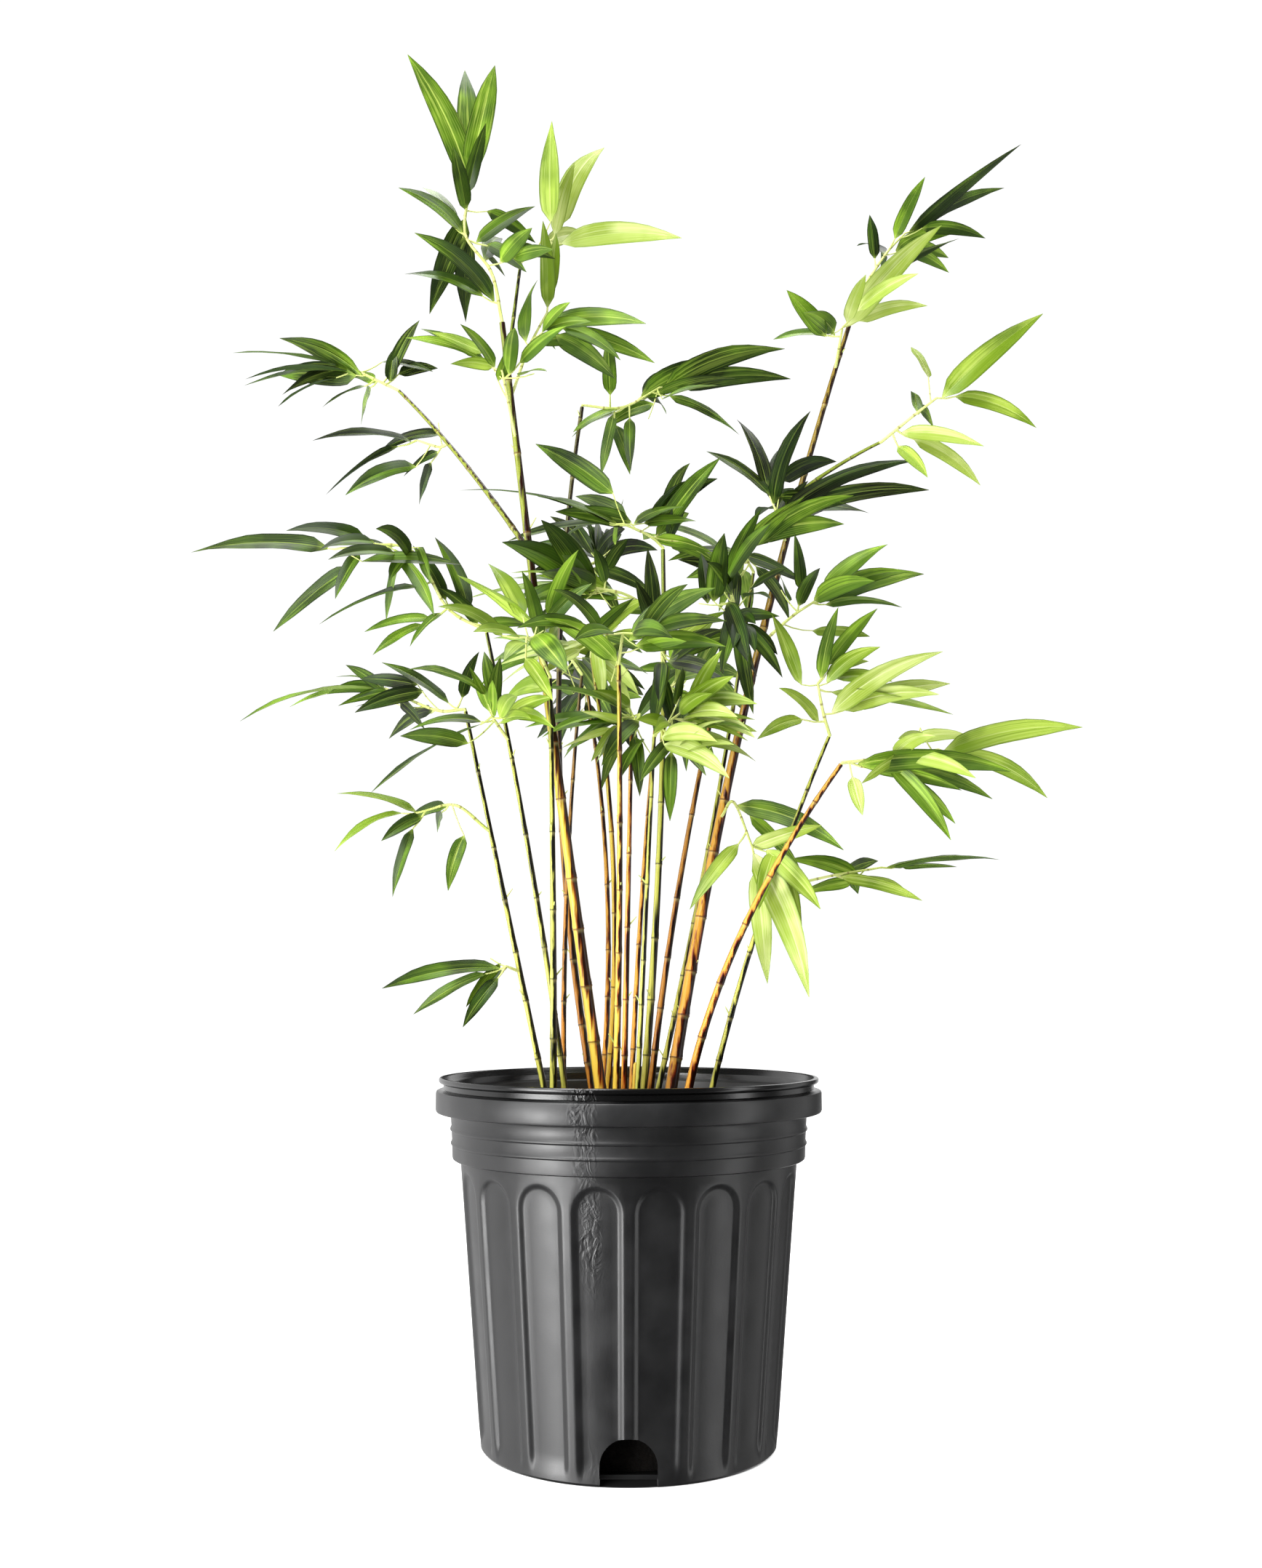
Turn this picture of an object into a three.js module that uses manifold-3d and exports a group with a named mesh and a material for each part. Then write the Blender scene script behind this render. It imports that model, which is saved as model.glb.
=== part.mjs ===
// A young clump of bamboo in a round black nursery pot, in millimetres, +Z up.
// The origin is the centre of the pot's flat underside, and the clump is seen from -Y.
// Canes rise from the soil, boughs leave the tall canes, and each mass of leaves is
// one stem with side twigs and leaves, grown by one seeded rule from a few sizes.

import * as THREE from "three";
import { mergeVertices } from "three/addons/utils/BufferGeometryUtils.js";
import Module from "manifold-3d";

const wasm = await Module();
wasm.setup();

// Pot: radii and heights of its outer wall, then the wall itself.
const pot = {
  rimRadius: 140,
  lipRadius: 138,
  lipTop: 257,
  bandTop: 248,
  bandLow: 232.5,
  collarRadius: 130.5,
  collarFoot: 127.8,
  collarLow: 199.5,
  bodyRadius: 121.5,
  footRadius: 105,
  footBevel: 2,
  wall: 2.4,
  floor: 3,
  facets: 36,
};

// Arched panels sunk into the body, one every 20 degrees, with a plain rib to the front.
const panel = { count: 18, topWidth: 36, footWidth: 32, depth: 1.5, low: 7, high: 193.5, arcSteps: 4 };

// Drain notches, open at the base.
const notch = { count: 4, width: 38, height: 31.5, reach: 20, arcSteps: 8 };

// Potting mix: its level, and the clear ring that it leaves behind the notches.
const soil = { top: 224, ringRadius: 80, ringTop: 34, clear: 0.3 };

// Gap between a stem, a foot or a bough and what carries it.
const seatGap = 0.3;

// Canes: foot on the soil, tip, sideways bow at mid height, radius at foot and tip, colour.
const canes = {
  cane_01: { foot: [-57, 6], tip: [-122, -8, 526], bow: 0, thick: [2.4, 1.4], tone: "green" },
  cane_02: { foot: [-54, -24], tip: [-56, -66, 540], bow: 1, thick: [2.8, 1.4], tone: "green" },
  cane_03: { foot: [-48, 22], tip: [-38, 75, 569], bow: -5, thick: [2.1, 1.3], tone: "brown" },
  cane_04: { foot: [-43, -14], tip: [-104, -40, 579], bow: 4, thick: [2.3, 1.3], tone: "green" },
  cane_tall_back: { foot: [-24, 44], tip: [-39, 92, 799], bow: -24, thick: [2.9, 1.6], tone: "brown" },
  cane_tall_left: { foot: [-17, -6], tip: [-94, -52, 811], bow: -2, thick: [4.5, 2.1], tone: "yellow" },
  cane_05: { foot: [-22, 60], tip: [-34, 100, 560], bow: 11, thick: [2.3, 1.4], tone: "orange" },
  cane_06: { foot: [-18, 14], tip: [-28, -12, 566], bow: 12, thick: [2.4, 1.4], tone: "yellow" },
  cane_07: { foot: [-10, -30], tip: [-7, -90, 545], bow: 2, thick: [2.6, 1.5], tone: "yellow" },
  cane_08: { foot: [-4, -8], tip: [2, -34, 505], bow: 0, thick: [2.4, 1.4], tone: "orange" },
  cane_stub: { foot: [3, -17], tip: [5, -18, 266], bow: 0, thick: [2.2, 2], tone: "yellow" },
  cane_09: { foot: [1, 34], tip: [22, 84, 540], bow: -2, thick: [2.2, 1.3], tone: "orange" },
  cane_10: { foot: [5, -31], tip: [18, -66, 498], bow: 0, thick: [2, 1.3], tone: "green" },
  cane_centre: { foot: [9, 8], tip: [26, 2, 653], bow: 6, thick: [3, 1.6], tone: "green" },
  cane_11: { foot: [13, -13], tip: [74, -40, 577], bow: -6, thick: [2.6, 1.4], tone: "brown" },
  cane_12: { foot: [17, 32], tip: [98, 44, 645], bow: 5, thick: [2.3, 1.3], tone: "green" },
  cane_tall_right: { foot: [27, -4], tip: [192, 88, 895], bow: -14, thick: [4.6, 1.7], tone: "orange" },
  cane_13: { foot: [38, -24], tip: [150, -68, 478], bow: -18, thick: [3.2, 1.6], tone: "orange" },
  cane_14: { foot: [56, 14], tip: [146, -34, 503], bow: -7, thick: [2.4, 1.3], tone: "green" },
};

// Boughs: the cane and the height where each leaves it, its tip, upward bow, radius at foot and tip.
const boughs = {
  bough_left: { on: "cane_tall_left", at: 641, tip: [-186, 58, 800], bow: 6, thick: [2.2, 1.3], tone: "yellow" },
  bough_right: { on: "cane_tall_right", at: 718, tip: [193, 0, 737], bow: 2, thick: [1.7, 1.2], tone: "green" },
  leader_right: { on: "cane_tall_left", at: 778, tip: [-83, -20, 872], bow: 0, thick: [1.6, 1.1], tone: "green" },
};

// Masses of leaves: the limb that carries each, the height on it (none means its tip), the points
// that its stem bends through, and its fans. Each fan is one side twig: its share along the stem,
// heading of the first and last leaf seen from the front in degrees (0 is right, 90 is up),
// number of leaves, length of the first and last, lean away from the front, and turn of the blade
// (0 faces the front, 90 is edge on).
const masses = {
  leaves_top_left: {
    on: "cane_tall_left", tone: "mid", path: [[-102, -56, 848], [-122, -54, 879], [-119, -56, 913]],
    fans: [
      [0.12, 135, 155, 2, 79, 71, 6, 20], [0.62, 28, -40, 3, 54, 39, -6, 25], [0.66, 140, 122, 2, 65, 60, 18, 20],
      [1, 112, 79, 3, 109, 98, 0, 12], [0.45, 75, 60, 2, 72, 64, 62, 30], [0.8, 100, 60, 2, 64, 58, -60, 20],
    ],
  },
  leaves_top_centre: {
    on: "leader_right", tone: "bright", path: [[-72, -2, 892], [-60, 8, 905]],
    fans: [[1, 77, 65, 2, 60, 97, 5, 15], [0.85, 2, 2, 1, 95, 95, -5, 5], [0.7, 40, 90, 2, 70, 62, 60, 30]],
  },
  leaves_top_centre_low: {
    on: "cane_tall_left", at: 755, tone: "mid", path: [[-76, -22, 804], [-63, -10, 837]],
    fans: [[1, 92, 84, 2, 70, 50, 0, 25], [0.92, -12, -30, 3, 74, 58, -6, 20], [0.6, 20, 60, 2, 62, 54, 60, 20]],
  },
  leaves_bough_left: {
    on: "bough_left", tone: "dark", path: [[-209, 66, 814], [-229, 74, 827]],
    fans: [
      [1, 172, 182, 2, 90, 76, 0, 70], [0.9, 196, 206, 2, 88, 52, -10, 60], [0.45, 203, 203, 1, 38, 38, 10, 55],
      [0.3, 61, 61, 1, 52, 52, -8, 15], [0.24, 84, 23, 2, 30, 34, 12, 15], [0.4, 150, 210, 2, 62, 60, 60, 20],
    ],
  },
  leaves_upper_left: {
    on: "cane_tall_left", at: 723, tone: "mid", path: [[-92, -72, 766]],
    fans: [[1, 131, 163, 3, 40, 60, -4, 35], [0.85, 60, 20, 2, 60, 52, -60, 10]],
  },
  leaves_bough_left_low: {
    on: "bough_left", at: 737, tone: "dark", path: [[-151, 40, 747], [-169, 44, 754]],
    fans: [[1, 177, 205, 2, 78, 76, 0, 52], [0.4, 207, 240, 2, 36, 42, 30, 30]],
  },
  leaves_centre_top: {
    on: "cane_tall_back", tone: "mid", path: [[-6, 92, 799], [25, 92, 816]],
    fans: [
      [1, 20, 8, 2, 108, 104, -4, 42], [0.9, 12, -18, 2, 66, 69, 6, 62], [0.55, 204, 204, 1, 42, 42, 10, 45],
      [0.6, 271, 271, 1, 46, 46, -10, 12], [0.35, 90, 90, 1, 62, 62, -68, 0], [0.4, 250, 300, 2, 60, 64, 52, 20],
      [0.75, 60, 40, 2, 70, 66, 56, 20],
    ],
  },
  leaves_left_mid: {
    on: "cane_04", tone: "mid", path: [[-132, -48, 596], [-160, -54, 638], [-208, -60, 637]],
    fans: [
      [0.04, 139, 118, 2, 42, 67, -5, 15], [0.14, -4, -4, 1, 44, 44, -12, 50], [0.3, 117, 117, 1, 48, 48, 0, 15],
      [0.33, 228, 192, 3, 36, 52, 0, 40], [0.48, 199, 199, 1, 77, 77, -8, 60], [0.64, 239, 149, 2, 26, 32, 0, 10],
      [0.74, 181, 181, 1, 44, 44, 8, 50], [0.9, 250, 220, 2, 42, 77, 0, 12], [1, 176, 176, 1, 98, 98, 0, 35],
      [0.6, 150, 200, 2, 66, 60, -58, 15],
    ],
  },
  leaves_left_low: {
    on: "cane_01", tone: "dark", path: [[-146, 2, 529], [-185, 10, 547]],
    fans: [
      [1, 192, 186, 2, 109, 64, 0, 74], [0.9, 159, 159, 1, 42, 42, 6, 72], [0.95, -46, -46, 1, 32, 32, -20, 40],
      [0.1, 147, 147, 1, 59, 59, 0, 45], [0.16, 68, 68, 1, 38, 38, -10, 35], [0.5, 200, 160, 2, 66, 62, 60, 25],
    ],
  },
  leaves_left_inner: {
    on: "cane_04", at: 500, tone: "mid", path: [[-99, -46, 516]],
    fans: [
      [1, 211, 211, 1, 93, 93, 4, 76], [0.9, 85, 97, 2, 44, 36, -8, 8], [0.8, 183, 183, 1, 52, 52, 6, 50],
      [0.9, 30, -20, 2, 58, 50, -58, 15],
    ],
  },
  leaves_left_lower: {
    on: "cane_01", at: 436, tone: "mid", path: [[-128, -14, 455], [-152, -16, 450]],
    fans: [[1, 162, 203, 2, 63, 58, 0, 60], [0.95, 213, 251, 2, 36, 52, -5, 18], [0.6, 190, 232, 2, 52, 50, 60, 20]],
  },
  leaves_lowest_left: {
    on: "cane_01", at: 333, tone: "dark", path: [[-90, -8, 337]],
    fans: [[1, 193, 208, 2, 90, 62, 0, 52], [1, 235, 235, 1, 44, 44, -6, 8], [0.9, 215, 215, 1, 54, 54, 58, 20]],
  },
  leaves_centre_crown: {
    on: "cane_centre", tone: "mid", path: [[16, -4, 662], [-4, -12, 669]],
    fans: [
      [1, 169, 169, 1, 122, 122, -8, 66], [1, 160, 184, 2, 64, 74, 2, 55], [0.36, 52, 68, 2, 82, 70, 4, 22],
      [0.5, -9, -15, 2, 44, 44, 14, 35], [0.3, 60, 120, 2, 70, 66, 60, 25],
    ],
  },
  leaves_centre_left: {
    on: "cane_centre", at: 596, tone: "mid", path: [[0, -18, 612], [-26, -24, 617]],
    fans: [
      [1, 173, 184, 2, 66, 85, -4, 58], [0.45, 168, 168, 1, 88, 88, 6, 55], [0.9, 200, 200, 1, 48, 48, 2, 50],
      [0.85, 110, 60, 2, 30, 28, -10, 20], [1, 140, 215, 2, 60, 56, -58, 10],
    ],
  },
  leaves_right_high: {
    on: "cane_tall_right", at: 674, tone: "dark", path: [[115, 28, 692]],
    fans: [
      [1, 72, 141, 3, 86, 64, 4, 28], [0.9, 21, 14, 2, 107, 105, -8, 62], [0.8, 50, 50, 1, 32, 32, 12, 40],
      [0.9, 60, 130, 2, 66, 62, 60, 20],
    ],
  },
  leaves_centre_right: {
    on: "cane_12", tone: "dark", path: [[88, 30, 660]],
    fans: [
      [1, 25, 25, 1, 96, 96, 0, 45], [1, -112, -96, 2, 64, 54, -30, 8], [1, -32, -58, 2, 52, 48, -6, 40],
      [1, 190, 150, 2, 52, 60, 5, 45], [0.8, 240, 300, 2, 60, 62, 60, 15],
    ],
  },
  leaves_right_hanging: {
    on: "cane_11", tone: "dark", path: [[77, -42, 602]],
    fans: [[1, -106, -56, 3, 62, 54, -6, 15], [0.9, -70, -40, 2, 50, 36, 14, 45], [1, 150, 60, 2, 58, 60, -50, 15]],
  },
  leaves_centre_front: {
    on: "cane_centre", at: 548, tone: "mid", path: [[24, -32, 568]],
    fans: [[1, 118, 98, 2, 60, 60, -36, 5], [1, 33, 5, 2, 50, 44, 6, 22], [0.85, -98, -78, 2, 44, 50, -24, 15]],
  },
  leaves_centre_left_low: {
    on: "cane_06", tone: "bright", path: [[-27, -24, 578]],
    fans: [
      [1, -85, -47, 3, 46, 44, -10, 10], [1, 201, 190, 3, 70, 46, 0, 52], [0.85, 212, 212, 1, 34, 34, -8, 10],
      [0.85, 40, 40, 1, 46, 46, -10, 5],
    ],
  },
  leaves_centre_low_left: {
    on: "cane_08", tone: "bright", path: [[8, -38, 519]],
    fans: [[1, 176, 190, 3, 86, 58, -4, 55], [1, 239, 276, 2, 68, 48, -34, 4]],
  },
  leaves_centre_low_right: {
    on: "cane_10", tone: "bright", path: [[32, -64, 512]],
    fans: [[1, 2, -14, 3, 50, 40, 8, 62], [0.9, -57, -125, 3, 48, 48, -8, 8], [1, 20, 60, 2, 52, 50, -50, 10]],
  },
  leaves_right_fan: {
    on: "cane_14", tone: "bright", path: [[141, -42, 520], [137, -46, 540]],
    fans: [
      [0.45, 26, 9, 3, 88, 72, -6, 18], [1, 74, 48, 2, 52, 58, -8, 4], [0.9, -6, -6, 1, 92, 92, 4, 70],
      [0.3, 150, 200, 2, 50, 46, -30, 20],
    ],
  },
  leaves_right_upper: {
    on: "cane_tall_right", at: 588, tone: "mid", path: [[125, 10, 603], [140, 4, 612]],
    fans: [[1, 21, 17, 2, 70, 83, 0, 30], [1, -2, -2, 1, 58, 58, 6, 64], [0.6, 60, 100, 2, 52, 50, -56, 10]],
  },
  leaves_top_right: {
    on: "cane_tall_right", tone: "dark", path: [[216, 92, 933], [233, 96, 953]],
    fans: [
      [1, 36, 31, 2, 113, 89, 0, 74], [0.3, 91, 91, 1, 44, 44, 0, 12], [0.12, 25, 25, 1, 76, 76, -8, 76],
      [0.5, 120, 60, 2, 62, 58, 62, 20], [0.55, 60, 60, 1, 60, 60, -60, 10],
    ],
  },
  leaves_upper_right: {
    on: "cane_tall_right", at: 826, tone: "bright", path: [[174, 60, 855]],
    fans: [[1, 43, 17, 2, 108, 63, 0, 32], [0.75, 143, 184, 2, 46, 40, 0, 32], [1, 70, 20, 2, 62, 62, -58, 10]],
  },
  leaves_bough_right: {
    on: "bough_right", tone: "bright", path: [[216, -8, 754], [235, -12, 768]],
    fans: [
      [0.24, -11, -30, 2, 62, 62, 0, 14], [0.18, -65, -65, 1, 46, 46, -10, 18], [1, 40, -16, 2, 100, 66, 0, 5],
      [0.6, 80, 20, 2, 58, 56, 58, 20],
    ],
  },
  leaves_right_low: {
    on: "cane_13", tone: "bright", path: [[172, -64, 482], [194, -58, 486], [222, -52, 491]],
    fans: [
      [1, 9, -25, 2, 97, 72, 0, 28], [0.5, -57, -41, 2, 71, 58, 4, 20], [0.08, -5, -14, 3, 103, 72, 0, 45],
      [0.08, -76, -76, 1, 30, 30, 0, 10], [0.5, 30, -30, 2, 60, 60, -58, 10],
    ],
  },
  leaves_lowest_right: {
    on: "cane_14", at: 392, tone: "mid", path: [[150, 10, 404], [190, 16, 411]],
    fans: [[1, 7, 3, 2, 83, 44, 0, 70], [0.55, -14, -6, 2, 61, 44, 0, 48], [0.6, 20, -30, 2, 52, 50, 60, 20]],
  },
  leaves_low_right: {
    on: "cane_tall_right", at: 450, tone: "bright", path: [[78, -6, 458], [90, -26, 423]],
    fans: [
      [0.45, -22, -50, 2, 85, 56, -6, 32], [1, -70, -86, 2, 117, 80, 0, 2], [0.85, -123, -123, 1, 62, 62, -4, 5],
    ],
  },
  leaves_back_left: {
    on: "cane_03", tone: "mid", path: [[-50, 96, 590], [-62, 120, 600]],
    fans: [[1, 200, 150, 3, 80, 70, 40, 30], [1, 120, 60, 2, 80, 70, 68, 30], [0.5, -60, 30, 3, 66, 60, 30, 30]],
  },
  leaves_back_low: {
    on: "cane_05", tone: "dark", path: [[-36, 124, 574], [-30, 150, 576]],
    fans: [[1, 220, 140, 3, 76, 70, 52, 25], [1, 60, -40, 3, 76, 68, 52, 25], [0.4, 250, 290, 2, 52, 50, 12, 30]],
  },
  leaves_back_right: {
    on: "cane_09", tone: "mid", path: [[34, 108, 566], [52, 130, 580]],
    fans: [[1, 60, -20, 3, 84, 72, 50, 25], [1, 160, 110, 2, 72, 68, 60, 25], [0.5, -30, -80, 3, 62, 60, 20, 25]],
  },
  leaves_back_upper: {
    on: "cane_tall_back", at: 653, tone: "dark", path: [[-33, 110, 670], [-21, 134, 678]],
    fans: [[1, 150, 30, 4, 84, 78, 48, 25], [0.5, -20, -60, 2, 62, 60, 40, 25]],
  },
  leaves_front_left: {
    on: "cane_02", tone: "bright", path: [[-64, -92, 556], [-70, -112, 560]],
    fans: [[1, 200, 160, 2, 64, 60, -55, 20], [1, 240, 300, 2, 60, 58, -55, 10], [0.5, 100, 40, 3, 60, 52, -30, 20]],
  },
  leaves_front_mid: {
    on: "cane_07", tone: "mid", path: [[-4, -116, 562]],
    fans: [[1, 210, 150, 3, 62, 60, -50, 20], [1, -30, 40, 3, 62, 60, -50, 20]],
  },
};

// The growing rule's own sizes.
const rule = {
  seed: 4127,
  caneSides: 7,
  caneStep: 75,
  boughSides: 6,
  stemThick: [1.6, 1.2],
  twigThick: [1.3, 1.1],
  twigSides: 3,
  twigReach: [5, 6],
  rootShares: [0.3, 1],
  leafWide: 0.18,
  leafWideLimits: [10, 20],
  leafThick: 0.011,
  leafThickLeast: 1.1,
  leafRootHalf: [0.6, 0.45],
  widestAt: 0.35,
  archLimits: [0.03, 0.09],
  headingStray: 4,
  leanStray: 3,
  leanStep: 12,
  twigLean: 20,
  twigLeanShare: 0.7,
  turnStray: 6,
  lengthStray: 0.06,
  dodges: [0, -14, 14, -28, 28, 42, -42],
  beadStep: 4,
  beadLeast: 2,
  clearance: 0.7,
};

const tones = {
  yellow: 0xd9b23c, orange: 0xc8792a, green: 0x9aa93a, brown: 0x6b3d22,
  dark: 0x2c4f17, mid: 0x4c8429, bright: 0x93bd3b, plastic: 0x2b2c2e, mix: 0x2a1f17,
};

const upward = new THREE.Vector3(0, 0, 1);
const toFront = new THREE.Vector3(0, -1, 0);
const radians = (degrees) => (degrees * Math.PI) / 180;
const mix = (a, b, share) => a + (b - a) * share;

// Solids

function solidOf(geometry) {
  geometry.deleteAttribute("normal");
  geometry.deleteAttribute("uv");
  const welded = mergeVertices(geometry, 1e-4);
  const corners = welded.index.array;
  const kept = [];
  for (let i = 0; i < corners.length; i += 3) {
    const [a, b, c] = [corners[i], corners[i + 1], corners[i + 2]];
    if (a !== b && b !== c && c !== a) kept.push(a, b, c);
  }
  const vertProperties = new Float32Array(welded.attributes.position.array);
  const triVerts = new Uint32Array(kept);
  return new wasm.Manifold(new wasm.Mesh({ numProp: 3, vertProperties, triVerts }));
}

function geometryOf(solid) {
  const { vertProperties, triVerts } = solid.getMesh();
  const geometry = new THREE.BufferGeometry();
  geometry.setAttribute("position", new THREE.BufferAttribute(new Float32Array(vertProperties), 3));
  geometry.setIndex(new THREE.BufferAttribute(new Uint32Array(triVerts), 1));
  geometry.computeVertexNormals();
  return geometry;
}

// A closed tube with flat ends, or a point where its section closes, bent along a curve.
// The frame gives the section's two directions, with across x along = up.
function sweep(pointAt, frameAt, sectionAt, sides, steps) {
  const geometry = new THREE.CylinderGeometry(1, 1, 1, sides, steps);
  const position = geometry.attributes.position;
  for (let i = 0; i < position.count; i += 1) {
    const share = position.getY(i) + 0.5;
    const [across, up] = frameAt(share);
    const [wide, thick] = sectionAt(share);
    const place = pointAt(share);
    place.addScaledVector(across, position.getX(i) * wide);
    place.addScaledVector(up, position.getZ(i) * thick);
    position.setXYZ(i, place.x, place.y, place.z);
  }
  return solidOf(geometry);
}

// A round tapering tube along a curve, with one steady reference for its sections.
function taperedTube(pointAt, thick, sides, steps, levelFoot) {
  const chord = pointAt(1).sub(pointAt(0)).normalize();
  const steady = Math.abs(chord.y) < 0.8 ? new THREE.Vector3(0, 1, 0) : new THREE.Vector3(1, 0, 0);
  const frameAt = (share) => {
    const along = levelFoot && share === 0 ? upward : directionAt(pointAt, share);
    const across = new THREE.Vector3().crossVectors(steady, along).normalize();
    return [across, new THREE.Vector3().crossVectors(across, along)];
  };
  const sectionAt = (share) => [mix(thick[0], thick[1], share), mix(thick[0], thick[1], share)];
  return sweep(pointAt, frameAt, sectionAt, sides, steps);
}

function directionAt(pointAt, share) {
  const step = 0.01;
  const from = pointAt(Math.max(share - step, 0));
  return pointAt(Math.min(share + step, 1)).sub(from).normalize();
}

// A hollow that crossing leaves seal is filled, and a loose scrap is dropped.
function outerShell(solid) {
  return solid.decompose().reduce((best, shell) => (shell.volume() > best.volume() ? shell : best));
}

// Pot and soil

function bodyRadiusAt(height) {
  return mix(pot.footRadius, pot.bodyRadius, height / pot.collarLow);
}

function turned(points, facets) {
  const profile = points.map(([radius, height]) => new THREE.Vector2(radius, height));
  return solidOf(new THREE.LatheGeometry(profile, facets).rotateX(Math.PI / 2));
}

function potProfile() {
  const { rimRadius, lipRadius, lipTop, bandTop, bandLow, collarRadius, collarFoot, collarLow } = pot;
  const inner = (radius) => radius - pot.wall;
  return [
    [0, 0], [pot.footRadius - pot.footBevel, 0], [bodyRadiusAt(pot.footBevel), pot.footBevel],
    [pot.bodyRadius, collarLow - 0.5], [collarFoot - 1, collarLow], [collarFoot + 0.4, collarLow + 2],
    [collarRadius, bandLow - 0.7], [rimRadius - 1.8, bandLow], [rimRadius - 0.4, bandLow + 1.6],
    [rimRadius, bandTop - 1.2], [rimRadius - 1, bandTop], [lipRadius - 3.4, bandTop + 0.6],
    [lipRadius - 3.4, lipTop - 3.6], [lipRadius, lipTop - 2], [lipRadius - 0.4, lipTop - 0.6],
    [lipRadius - 4, lipTop], [inner(collarRadius) + 1, lipTop - 3], [inner(collarRadius), bandLow + 1],
    [inner(collarFoot) + 0.4, collarLow + 2.4], [inner(pot.bodyRadius), collarLow - 1],
    [inner(bodyRadiusAt(pot.floor)), pot.floor], [0, pot.floor],
  ];
}

// A flat shape pushed out along +Y from a start depth, then turned about the pot's axis.
function wallCutter(shape, arcSteps, start, deep, lean, turn) {
  const geometry = new THREE.ExtrudeGeometry(shape, { depth: deep, bevelEnabled: false, curveSegments: arcSteps });
  geometry.rotateX(Math.PI / 2);
  geometry.rotateX(lean);
  geometry.translate(0, -start, 0);
  geometry.rotateZ(turn);
  return solidOf(geometry);
}

function panelShape() {
  const half = panel.topWidth / 2;
  const shape = new THREE.Shape();
  shape.moveTo(-panel.footWidth / 2, panel.low);
  shape.lineTo(panel.footWidth / 2, panel.low);
  shape.lineTo(half, panel.high - half);
  shape.absarc(0, panel.high - half, half, 0, Math.PI, false);
  shape.lineTo(-panel.footWidth / 2, panel.low);
  return shape;
}

function notchShape() {
  const half = notch.width / 2;
  const shape = new THREE.Shape();
  shape.moveTo(-half, -1);
  shape.lineTo(half, -1);
  shape.lineTo(half, notch.height - half);
  shape.absarc(0, notch.height - half, half, 0, Math.PI, false);
  shape.lineTo(-half, -1);
  return shape;
}

function makePot() {
  let solid = turned(potProfile(), pot.facets);
  const lean = Math.atan((pot.bodyRadius - pot.footRadius) / pot.collarLow);
  const sunk = pot.footRadius - panel.depth;
  for (let i = 0; i < panel.count; i += 1) {
    const turn = ((i + 0.5) * 2 * Math.PI) / panel.count;
    solid = solid.subtract(wallCutter(panelShape(), panel.arcSteps, sunk, 12, lean, turn));
  }
  for (let i = 0; i < notch.count; i += 1) {
    const turn = (i * 2 * Math.PI) / notch.count;
    const start = pot.footRadius - notch.reach;
    solid = solid.subtract(wallCutter(notchShape(), notch.arcSteps, start, notch.reach + 12, 0, turn));
  }
  return solid;
}

function makeSoil() {
  const clear = pot.wall + soil.clear;
  const collarClear = pot.collarFoot + 0.4 - clear;
  const slope = (pot.collarRadius - pot.collarFoot - 0.4) / (pot.bandLow - pot.collarLow - 1.4);
  return turned(
    [
      [0, pot.floor + soil.clear], [soil.ringRadius, pot.floor + soil.clear], [soil.ringRadius, soil.ringTop],
      [bodyRadiusAt(soil.ringTop + 4) - clear, soil.ringTop + 4], [pot.bodyRadius - clear, pot.collarLow - 1],
      [collarClear, pot.collarLow + 3], [collarClear + slope * (soil.top - pot.collarLow - 3), soil.top], [0, soil.top],
    ],
    pot.facets,
  );
}

// Limbs

function caneCurve({ foot, tip, bow }) {
  const low = soil.top + seatGap;
  return (share) => new THREE.Vector3(
    mix(foot[0], tip[0], share) + bow * 4 * share * (1 - share),
    mix(foot[1], tip[1], share),
    mix(low, tip[2], share),
  );
}

// The share along a limb at which it passes a height.
function shareAtHeight(limb, height) {
  return (height - limb.pointAt(0).z) / (limb.pointAt(1).z - limb.pointAt(0).z);
}

// Where something that grows out sideways starts: clear of the limb, on the side it heads for.
function seatOn(limb, height, towards, radius) {
  const share = height === undefined ? 1 : shareAtHeight(limb, height);
  const place = limb.pointAt(share);
  const along = directionAt(limb.pointAt, share);
  const heading = towards.clone().sub(place).normalize();
  const cosine = Math.abs(heading.dot(along));
  const sine = Math.sqrt(1 - cosine * cosine);
  if (height === undefined) return place.addScaledVector(along, seatGap + radius * sine);
  const limbRadius = mix(limb.thick[0], limb.thick[1], share);
  return place.addScaledVector(heading, (limbRadius + seatGap / 2 + radius * cosine) / sine);
}

function growCanes() {
  const limbs = {};
  for (const [name, cane] of Object.entries(canes)) {
    const pointAt = caneCurve(cane);
    const steps = Math.max(1, Math.round((cane.tip[2] - soil.top) / rule.caneStep));
    const solid = taperedTube(pointAt, cane.thick, rule.caneSides, steps, true);
    limbs[name] = { pointAt, thick: cane.thick, tone: cane.tone, solid };
  }
  for (const [name, bough] of Object.entries(boughs)) {
    const tip = new THREE.Vector3(...bough.tip);
    const foot = seatOn(limbs[bough.on], bough.at, tip, bough.thick[0]);
    const pointAt = (share) => foot.clone().lerp(tip, share).addScaledVector(upward, bough.bow * 4 * share * (1 - share));
    const solid = taperedTube(pointAt, bough.thick, rule.boughSides, 3, false);
    limbs[name] = { pointAt, thick: bough.thick, tone: bough.tone, solid };
  }
  return limbs;
}

// Room: every limb, stem and leaf is kept as a string of beads, so that the next can keep clear.

function beadsOf(pointAt, radiusAt, length, owner) {
  const count = Math.ceil(length / rule.beadStep);
  const beads = [];
  for (let i = 0; i <= count; i += 1) {
    const place = pointAt(i / count);
    beads.push({ place, radius: Math.max(radiusAt(i / count), rule.beadLeast), owner });
  }
  return beads;
}

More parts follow.
